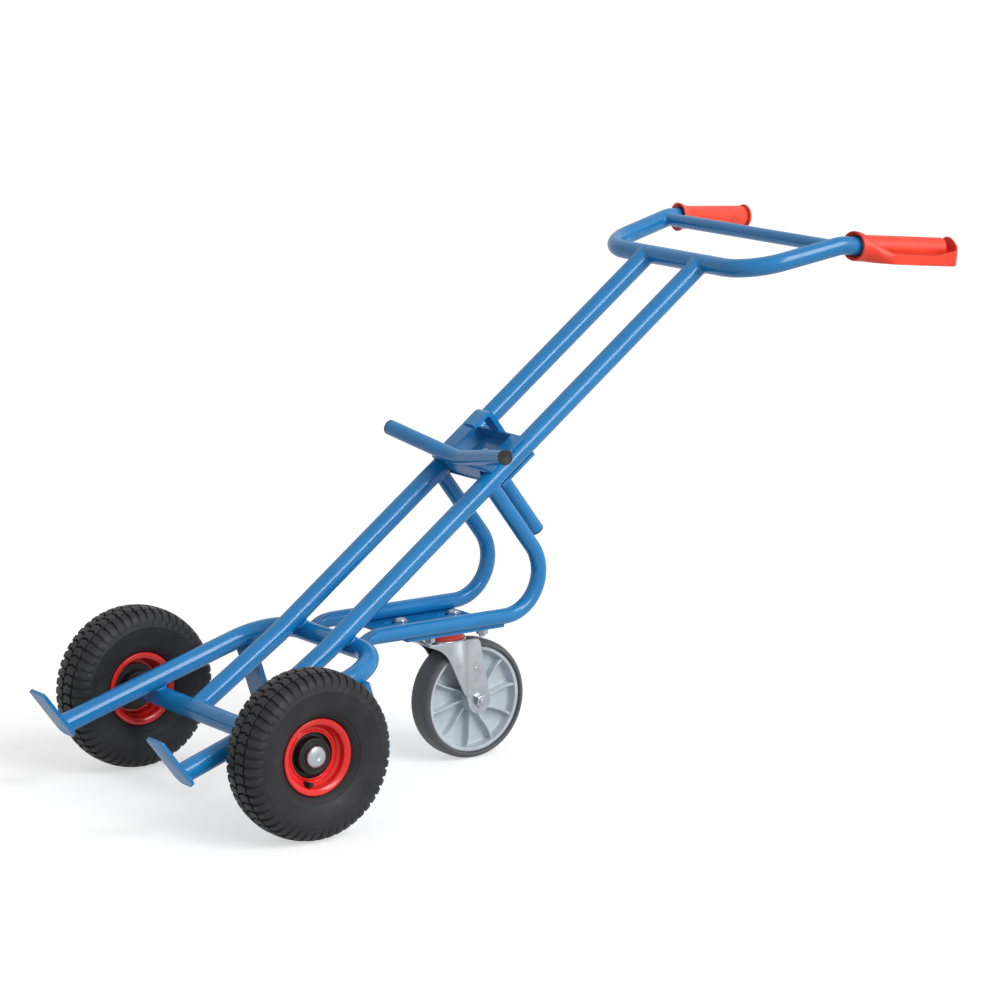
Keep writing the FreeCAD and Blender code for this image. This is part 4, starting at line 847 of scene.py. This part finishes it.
# Swivel castor
def castor_rib(turn):
    """One curved rib of the core, flared at hub and ring and at its root on the web."""
    section = both_sides(RIB_HALF + [(-along, width) for along, width in reversed(RIB_HALF)])
    rings = []
    for share in shares(RIB_STEPS):
        radius = RIB_FROM + (RIB_TO - RIB_FROM) * share
        bend = turn + math.radians(RIB_SWEEP) * share * (3 - 2 * share)
        near_ends = math.exp(-(radius - RIB_FROM) / HUB_FLARE) + math.exp(-(RIB_TO - radius) / RING_FLARE)
        flare = 1 + RIB_FLARE * near_ends
        ring = []
        for along, width in section:
            angle = bend + width * flare / radius
            ring.append(CASTOR_AXLE + Vector((radius * math.cos(angle), along, radius * math.sin(angle))))
        rings.append(ring)
    return capped_tube(rings)


def add_castor_wheel():
    core = [turned(both_sides(CORE_OUTLINE), CASTOR_AXLE, ACROSS, corner=1.6, steps=CORE_STEPS)]
    core += [castor_rib(math.tau * rib / RIB_COUNT) for rib in range(RIB_COUNT)]
    add_shell("ribbed_castor_core", joined(core), "castor_grey", "castor_wheel", "castor_core")
    tyre = turned(both_sides(CASTOR_TYRE_OUTLINE), CASTOR_AXLE, ACROSS, corner=3.0, steps=WHEEL_STEPS)
    add_shell("rounded_castor_tyre", tyre, "castor_rubber", "castor_wheel", "castor_tyre")


def fork_eye():
    """Round end of a leg about the castor's axle, from its back to its front edge."""
    eye = []
    for share in shares(EYE_STEPS):
        turn = math.radians(EYE_FROM - EYE_SWEEP * share)
        eye.append((CASTOR_AXLE.x + FORK_EYE * math.cos(turn), CASTOR_AXLE.z + FORK_EYE * math.sin(turn)))
    return eye


def fork_leg():
    """Right-hand leg: a flat back part and a front part folded in towards the wheel."""
    front = [spline(FORK_FRONT, share) for share in shares(FORK_FRONT_STEPS, 1)]
    back = FORK_BACK + fork_eye() + [point for point in front if point[0] > FORK_FOLD]
    edge = [point for point in front if point[0] <= FORK_FOLD]
    share = (FORK_FOLD - back[-1][0]) / (edge[0][0] - back[-1][0])
    fold_foot = (FORK_FOLD, back[-1][1] + (edge[0][1] - back[-1][1]) * share)
    fold_head = (FORK_FOLD, back[0][1])
    flat_part = [fold_head] + back + [fold_foot]
    front_part = FORK_TOP + [fold_head, fold_foot] + edge
    flat = plate(flat_part[::-1], LEG_INNER, LEG_OUTER, LEG_EDGE)
    points, faces = plate(front_part[::-1], LEG_INNER, LEG_OUTER, LEG_EDGE)
    folded = [(x, y - FOLD_SLOPE * (FORK_FOLD - x), z) for x, y, z in points]
    return joined([flat, (folded, faces)])


def add_castor_fork():
    leg = fork_leg()
    crown = plate(softened(FORK_CROWN, radius=1.2), -LEG_INNER, LEG_INNER, CROWN_EDGE)
    collar = turned(CROWN_RING, KINGPIN, UP, corner=1.0, steps=RING_STEPS)
    dimple = turned(DIMPLE, DIMPLE_PLACE, ACROSS, corner=0.6)
    shells = [leg, mirrored(leg), crown, collar, dimple, mirrored(dimple)]
    add_shell("pressed_castor_fork", joined(shells), "zinc", "castor_fork", "castor_fork")
    ring = turned(SWIVEL_RING, KINGPIN, UP, corner=0.6, steps=RING_STEPS)
    add_shell("lipped_swivel_ring", ring, "swivel_red", "castor_fork", "swivel_ring")


def add_castor_axle():
    shank = turned(AXLE_BOLT, CASTOR_AXLE - ACROSS * AXLE_BOLT_TAIL, ACROSS, corner=0.5)
    head = hex_nut(AXLE_HEX, AXLE_HEAD_HEIGHT, AXIS_HOLE, CASTOR_AXLE + ACROSS * LEG_OUTER, ACROSS)
    add_shell("castor_axle_hex_bolt", joined([shank, head]), "zinc", "castor_fork", "castor_axle_bolt",
              sharp=SHARP_HEX)
    nut = hex_nut(AXLE_HEX, AXLE_NUT_HEIGHT, AXLE_NUT_BORE, CASTOR_AXLE - ACROSS * LEG_OUTER, -ACROSS)
    add_shell("castor_axle_hex_nut", nut, "zinc", "castor_fork", "castor_axle_nut", sharp=SHARP_HEX)


def add_castor_fasteners():
    heads, washers, nuts = [], [], []
    for x_sign in (-1, 1):
        for y_sign in (-1, 1):
            spot = KINGPIN + Vector((x_sign * BOLT_SPACING[0] / 2, y_sign * BOLT_SPACING[1] / 2, 0.0))
            heads.append(turned(DOMED_BOLT, spot + UP * BOLT_SEAT, UP, corner=0.5))
            for level in (BOLT_SEAT - WASHER_HEIGHT, NUT_SEAT):
                washers.append(turned(WASHER, spot + UP * level, UP, corner=0.5))
            nuts.append(hex_nut(NUT_HEX, NUT_HEIGHT, NUT_BORE, spot + UP * NUT_SEAT, -UP))
    add_shell("domed_castor_bolts", joined(heads), "zinc", "frame", "castor_bolts")
    add_shell("round_edged_washers", joined(washers), "zinc", "frame", "castor_bolt_washers")
    add_shell("castor_hex_nuts", joined(nuts), "zinc", "frame", "castor_nuts", sharp=SHARP_HEX)


# Castor tubes
def castor_tube_line():
    """Middle of the right-hand tube as (place, direction), from the stile to the crossbar."""
    head = on_stile(CASTOR_TUBE_ALONG, CASTOR_TUBE_HEAD, STILE_Y)
    down = -OFF_STILE
    turn = down.angle(FORWARD)
    corner = head + down * ((head.z - CASTOR_RUN_Z) / OFF_STILE.z)
    bend_start = corner - down * (CASTOR_TUBE_BEND * math.tan(turn / 2))
    inward = (FORWARD - down * FORWARD.dot(down)).normalized()
    line = [(head, down)]
    for share in shares(BEND_STEPS):
        angle = turn * share
        swing = down * math.sin(angle) + inward * (1 - math.cos(angle))
        direction = down * math.cos(angle) + inward * math.sin(angle)
        line.append((bend_start + swing * CASTOR_TUBE_BEND, direction))
    front = Vector((ARM_CORNER.x, STILE_Y, CASTOR_RUN_Z))
    for share in shares(NOSE_STEPS):
        line.append((front - FORWARD * (NOSE_REACH * (1 - share)), FORWARD))
    return line


def pressed_down(point):
    """Point of a tube's front end pressed under the slope of its nose, with a soft edge."""
    past = ARM_CORNER.x + NOSE_REACH - point.x
    if past < 0:
        return point
    slope = CASTOR_RUN_Z + CASTOR_TUBE_RADIUS + NOSE_LIFT - NOSE_FALL * past ** 2
    drop = NOSE_ROUND * math.log1p(math.exp((point.z - slope) / NOSE_ROUND))
    return point - UP * drop


def add_castor_tubes():
    rings = []
    for place, direction in castor_tube_line():
        ring = ring_about(place, ACROSS, direction.cross(ACROSS), CASTOR_TUBE_RADIUS)
        rings.append([pressed_down(point) for point in ring])
    right = capped_tube(rings)
    add_shell("right_pressed_castor_tube", right, "blue_paint", "frame", "right_castor_tube")
    add_shell("left_pressed_castor_tube", mirrored(right), "blue_paint", "frame", "left_castor_tube")


# Cradle bar, clamp and end plugs
def add_cradle_bar():
    """Cradle tube with its long soft bend, from one end plug to the other."""
    tilt = math.radians(CRADLE_TILT)
    centre = CRADLE_TIP - CRADLE_HALF * math.tan(tilt) + CRADLE_BEND / math.cos(tilt)
    line = [(-CRADLE_HALF, CRADLE_TIP)]
    for share in shares(CRADLE_STEPS):
        turn = tilt * (2 * share - 1)
        line.append((CRADLE_BEND * math.sin(turn), centre - CRADLE_BEND * math.cos(turn)))
    line.append((CRADLE_HALF, CRADLE_TIP))
    rings = []
    for index, (across, off) in enumerate(line):
        before, after = neighbours(line, index)
        out = (OFF_STILE * (after[0] - before[0]) - ACROSS * (after[1] - before[1])).normalized()
        rings.append(ring_about(on_stile(CRADLE_ALONG, off, across), out, ALONG_STILE, CRADLE_RADIUS))
    add_shell("soft_bent_cradle_bar", capped_tube(rings), "blue_paint", "rim_hook_slide", "cradle_bar")


def add_end_plugs():
    tilt = math.radians(CRADLE_TILT)
    outward = OFF_STILE * math.sin(tilt) + ACROSS * math.cos(tilt)
    end = on_stile(CRADLE_ALONG, CRADLE_TIP, CRADLE_HALF)
    plug = turned(PLUG, end, outward, corner=0.5, steps=CAP_STEPS)
    add_shell("ringed_cradle_caps", joined([plug, mirrored(plug)]), "black_plastic", "rim_hook_slide",
              "cradle_caps")
    handle_plug = turned(PLUG, on_stile(CLAMP_ALONG, CLAMP_END), -OFF_STILE, corner=0.5, steps=CAP_STEPS)
    add_shell("ringed_handle_cap", handle_plug, "black_plastic", "clamp_handle", "clamp_handle_cap")
    bolt_seat = on_stile(CLAMP_ALONG, CLAMP_BOLT_SEAT)
    bolt = turned(CLAMP_BOLT, bolt_seat, OFF_STILE, corner=0.6, steps=CAP_STEPS)
    add_shell("domed_clamp_bolt", bolt, "zinc", "rim_hook_slide", "clamp_bolt")


# Grips
def guard_line():
    """Guard seen from above as (out, along), along the side and across the sleeve's end."""
    side_end = GRIP_END - GUARD_CORNER
    line = [(GUARD_SIDE, GUARD_FLAT_FROM * share) for share in shares(GUARD_FUNNEL_STEPS)]
    for share in shares(GUARD_SIDE_STEPS, 1):
        line.append((GUARD_SIDE, GUARD_FLAT_FROM + (side_end - GUARD_FLAT_FROM) * share))
    for share in shares(GUARD_CORNER_STEPS, 1):
        turn = math.pi / 2 * share
        out = GUARD_SIDE - GUARD_CORNER * (1 - math.cos(turn))
        line.append((out, side_end + GUARD_CORNER * math.sin(turn)))
    corner_end = GUARD_SIDE - GUARD_CORNER
    for share in shares(GUARD_END_STEPS, 1):
        swept = math.sin(math.radians(GUARD_END_SWEEP) * share)
        out = corner_end - (corner_end + GUARD_END_RADIUS) * swept
        line.append((out, GRIP_END - GUARD_END_SLANT * swept * swept))
    return line


def guard_edges(out, along):
    """Upper and lower edge of the guard: flat along the side, rising to a round wall at the end."""
    radius = GUARD_END_RADIUS
    if out < 0:
        half = math.sqrt(max(radius * radius - out * out, 0.0))
        return half, -half
    side = out / GUARD_SIDE
    low = GUARD_LOW * side - radius * (1 - side)
    rise_from = GRIP_END - GUARD_CORNER - GUARD_RISE_LENGTH
    risen = smooth_step((along - rise_from) / GUARD_RISE_LENGTH)
    corner = GUARD_HIGH + (GUARD_CORNER_HIGH - GUARD_HIGH) * risen
    return corner + (radius - corner) * math.cos(math.pi / 2 * side), low


def guard_rows():
    """Rows of points down the guard: a funnel round the collar that opens into a flat band."""
    rows = []
    for out, along in guard_line():
        opened = smooth_step(along / GUARD_FLAT_FROM)
        high, low = guard_edges(out, along)
        row = []
        for share in shares(GUARD_DOWN_STEPS):
            turn = math.radians(COLLAR_FROM - COLLAR_SWEEP * share)
            hugging = Vector((COLLAR_RADIUS * math.cos(turn), COLLAR_RADIUS * math.sin(turn)))
            flat = Vector((out, high + (low - high) * share))
            place = hugging.lerp(flat, opened)
            row.append(Vector((place.x, along, place.y)))
        rows.append(row)
    return rows


def thick_sheet(rows, thickness):
    """Shell of a sheet given by rows of points on its middle, with round edges."""
    edge = thickness * GUARD_ROUND
    rings = []
    for index, row in enumerate(rows):
        before, after = neighbours(rows, index)
        front, back = [], []
        for step, point in enumerate(row):
            above, below = neighbours(row, step)
            out = (after[step] - before[step]).cross(below - above).normalized() * (thickness / 2)
            front.append(point + out)
            back.append(point - out)
        top = row[0] + (row[0] - row[1]).normalized() * edge
        bottom = row[-1] + (row[-1] - row[-2]).normalized() * edge
        rings.append([top] + front + [bottom] + back[::-1])
    return capped_tube(rings)


def grip_shell():
    """Left-hand grip: bell-mouthed sleeve with a rounded end, and its knuckle guard."""
    sleeve = turned(GRIP_OUTLINE, Vector(), ACROSS, corner=1.2, steps=CAP_STEPS)
    points, faces = joined([sleeve, thick_sheet(guard_rows(), GUARD_SHEET)])
    along = GRIP_LINE.normalized()
    outward = along.cross(UP).normalized()
    up = outward.cross(along)
    start = GRIP_BEND + along * GRIP_START
    placed = []
    for x, y, z in points:
        slant = MOUTH_SLANT * (x / COLLAR_RADIUS + MOUTH_SET_BACK) * (1 - smooth_step(y / MOUTH_LENGTH))
        placed.append(start + outward * x + along * (y + slant) + up * z)
    return placed, faces


def add_grips():
    left = grip_shell()
    add_shell("left_guarded_grip", left, "grip_red", "frame", "left_grip", sharp=SHARP_GRIP)
    add_shell("right_guarded_grip", mirrored(left), "grip_red", "frame", "right_grip", sharp=SHARP_GRIP)


# Welds; a tube is given as a point on its middle, its direction and its radius
def rippled(size, index, ripple):
    """Size of a seam at one step along it, with the ripple of a hand-laid weld."""
    return size * (1 + sum(height * math.sin(index * turn) for height, turn in ripple))


def fillet(seats, size):
    """Hollow seam round a corner; a seat is its place and the ways along the two pieces that meet."""
    rings = []
    for index, (place, first, second) in enumerate(seats):
        reach = rippled(size, index, FILLET_RIPPLE)
        between = first + second
        heart = place + between * (FILLET_FULLNESS * reach)
        sunk = place - between * (FILLET_SINK * reach)
        start = sunk + first * reach
        end = sunk + second * reach
        ring = [drawn_to(heart, start, end, share) for share in shares(FILLET_STEPS)]
        ring.append(place - between * (FILLET_ROOT * reach))
        rings.append(ring)
    return closed_rings(rings)


def along_surface(way, normal):
    """Part of a way that lies along a surface."""
    return way - normal * way.dot(normal)


def tube_end_weld(tube, other_tube, size):
    """Seam where a tube's end meets the side of another tube."""
    start, line, radius = tube
    other, other_line, other_radius = other_tube
    line = line.normalized()
    other_line = other_line.normalized()
    slide = along_surface(line, other_line)
    seats = []
    for out in spokes_about(line, WELD_STEPS):
        gap = along_surface(start + out * radius - other, other_line)
        a, b, c = slide.dot(slide), gap.dot(slide), gap.dot(gap) - other_radius ** 2
        reach = (-b - math.sqrt(max(b * b - a * c, 0.0))) / a
        normal = (gap + slide * reach).normalized()
        seats.append((start + out * radius + line * reach, -line, along_surface(out, normal)))
    return fillet(seats, size)


def plate_end_weld(tube, plate_point, plate_normal, size):
    """Seam where a tube's end stands on a plate."""
    start, line, radius = tube
    seats = []
    for out in spokes_about(line, WELD_STEPS):
        foot = start + out * radius
        place = foot + line * ((plate_point - foot).dot(plate_normal) / line.dot(plate_normal))
        seats.append((place, -line, along_surface(out, plate_normal).normalized()))
    return fillet(seats, size)


def crossing_weld(place, axis):
    """Round bead about the spot where two tubes lie across each other."""
    rings = []
    for index, out in enumerate(spokes_about(axis, WELD_STEPS)):
        size = rippled(BEAD_SIZE, index, BEAD_RIPPLE)
        rings.append(ring_about(place + out * BEAD_REACH, out, axis, size, BEAD_SIDES))
    return closed_rings(rings)


def add_welds():
    """Seams of the frame's right-hand side, each with its mirror image on the left."""
    bend = on_stile(STILE_BEND, 0.0, STILE_Y)
    stile_foot = (bend, AXLE + ACROSS * STILE_Y - bend, MAIN_TUBE_RADIUS)
    stile = (on_stile(0.0, 0.0, STILE_Y), ALONG_STILE, MAIN_TUBE_RADIUS)
    axle_tube = (AXLE, ACROSS, MAIN_TUBE_RADIUS)
    handle_front = (on_stile(HANDLE_ALONG, 0.0), ACROSS, HANDLE_RADIUS)
    handle_leg = (CROSS_TUBE, HANDLE_LEG, HANDLE_RADIUS)
    cross_tube = (Vector((CROSS_TUBE.x, 0.0, CROSS_TUBE.z)), ACROSS, CROSS_TUBE_RADIUS)
    castor_tube = (on_stile(CASTOR_TUBE_ALONG, CASTOR_TUBE_BELOW, STILE_Y), OFF_STILE, CASTOR_TUBE_RADIUS)
    arm_line = (ARM_TIP - ARM_CORNER).normalized()
    arm = (ARM_CORNER, arm_line, MAIN_TUBE_RADIUS)
    arm_up = ACROSS.cross(arm_line).normalized()
    arm_seat = AXLE + arm_up * MAIN_TUBE_RADIUS
    arm_seat.y = ARM_CORNER.y + arm_line.y * (arm_seat.x - ARM_CORNER.x) / arm_line.x
    seams = {
        "stile_foot_welds": tube_end_weld(stile_foot, axle_tube, LARGE_SEAM),
        "stile_head_welds": tube_end_weld(stile, handle_front, LARGE_SEAM),
        "stile_seat_welds": crossing_weld(on_stile(0.0, -MAIN_TUBE_RADIUS, STILE_Y), OFF_STILE),
        "castor_tube_welds": tube_end_weld(castor_tube, stile, SMALL_SEAM),
        "cross_tube_welds": tube_end_weld(cross_tube, handle_leg, SMALL_SEAM),
        "toe_plate_welds": plate_end_weld(arm, on_stile(TOE_PLANE, 0.0), ALONG_STILE, SMALL_SEAM),
        "arm_seat_welds": crossing_weld(arm_seat, arm_up),
    }
    for name, seam in seams.items():
        add_shell(name, joined([seam, mirrored(seam)]), "blue_paint", "frame", sharp=SHARP_WELD)


# Stage, light and camera
def seen_directly(tree):
    """Factor of 1 for rays from the camera and from reflections or clear matter, else 0."""
    rays = tree.nodes.new("ShaderNodeLightPath").outputs
    glossy = combined(tree, "MAXIMUM", rays["Is Camera Ray"], rays["Is Glossy Ray"])
    return combined(tree, "MAXIMUM", glossy, rays["Is Transmission Ray"])


def add_floor():
    """Pale floor that takes a faint shadow; its own white, only seen, matches the surround."""
    reach = FLOOR_REACH
    mesh = bpy.data.meshes.new("floor")
    corners = [(-reach, -reach, 0), (reach, -reach, 0), (reach, reach, 0), (-reach, reach, 0)]
    mesh.from_pydata(corners, [], [(0, 1, 2, 3)])
    floor = put_in_scene("floor", mesh)
    material, tree, shader, _ = new_material("white_floor", FLOOR_WHITE, FLOOR_ROUGHNESS, gloss=0.0)
    own_white = mapped(tree, seen_directly(tree), (0.0, 1.0), 0.0, FLOOR_OWN_WHITE)
    shader.inputs["Emission Color"].default_value = WHITE
    tree.links.new(own_white, shader.inputs["Emission Strength"])
    mesh.materials.append(material)


def add_world():
    """Even studio light; the camera and reflections see a white surround."""
    world = bpy.data.worlds.new("studio")
    bpy.context.scene.world = world
    world.use_nodes = True
    tree = world.node_tree
    light = tree.nodes["Background"]
    light.inputs["Color"].default_value = WHITE
    light.inputs["Strength"].default_value = DOME_LIGHT
    surround = new_node(tree, "Background", {"Color": WHITE, "Strength": 1.0})
    mix = tree.nodes.new("ShaderNodeMixShader")
    tree.links.new(seen_directly(tree), mix.inputs["Fac"])
    tree.links.new(light.outputs["Background"], mix.inputs[1])
    tree.links.new(surround.outputs["Background"], mix.inputs[2])
    tree.links.new(mix.outputs["Shader"], tree.nodes["World Output"].inputs["Surface"])


def add_far_lamp(name, source, power, angle):
    """Far lamp that lights the scene evenly from one direction; a wide angle makes it soft."""
    data = bpy.data.lights.new(name, "SUN")
    data.energy = power
    data.angle = math.radians(angle)
    lamp = put_in_scene(name, data)
    lamp.rotation_mode = "QUATERNION"
    lamp.rotation_quaternion = (-Vector(source)).to_track_quat("-Z", "Y")


def add_lamps():
    for number, source in enumerate(STRIP_FROM):
        add_far_lamp("strip_%d" % number, source, STRIP_LIGHT, STRIP_ANGLE)
    add_far_lamp("side", SIDE_FROM, SIDE_LIGHT, SIDE_ANGLE)


def add_camera():
    data = bpy.data.cameras.new("camera")
    data.sensor_width = SENSOR_WIDTH
    data.lens = LENS
    data.clip_end = CAMERA_REACH
    camera = put_in_scene("camera", data)
    camera.location = CAMERA_PLACE
    camera.rotation_euler = (math.radians(90.0 - CAMERA_DIP), 0.0, math.radians(-CAMERA_TURN))
    bpy.context.scene.camera = camera


paint_cad_nodes()
round_plate_edges()
add_tyres()
add_rims_and_hubs()
add_axle_caps()
add_valves()
add_castor_wheel()
add_castor_fork()
add_castor_axle()
add_castor_fasteners()
add_castor_tubes()
add_cradle_bar()
add_end_plugs()
add_grips()
add_welds()
add_floor()
add_world()
add_lamps()
add_camera()
bpy.context.scene.view_settings.view_transform = "Standard"
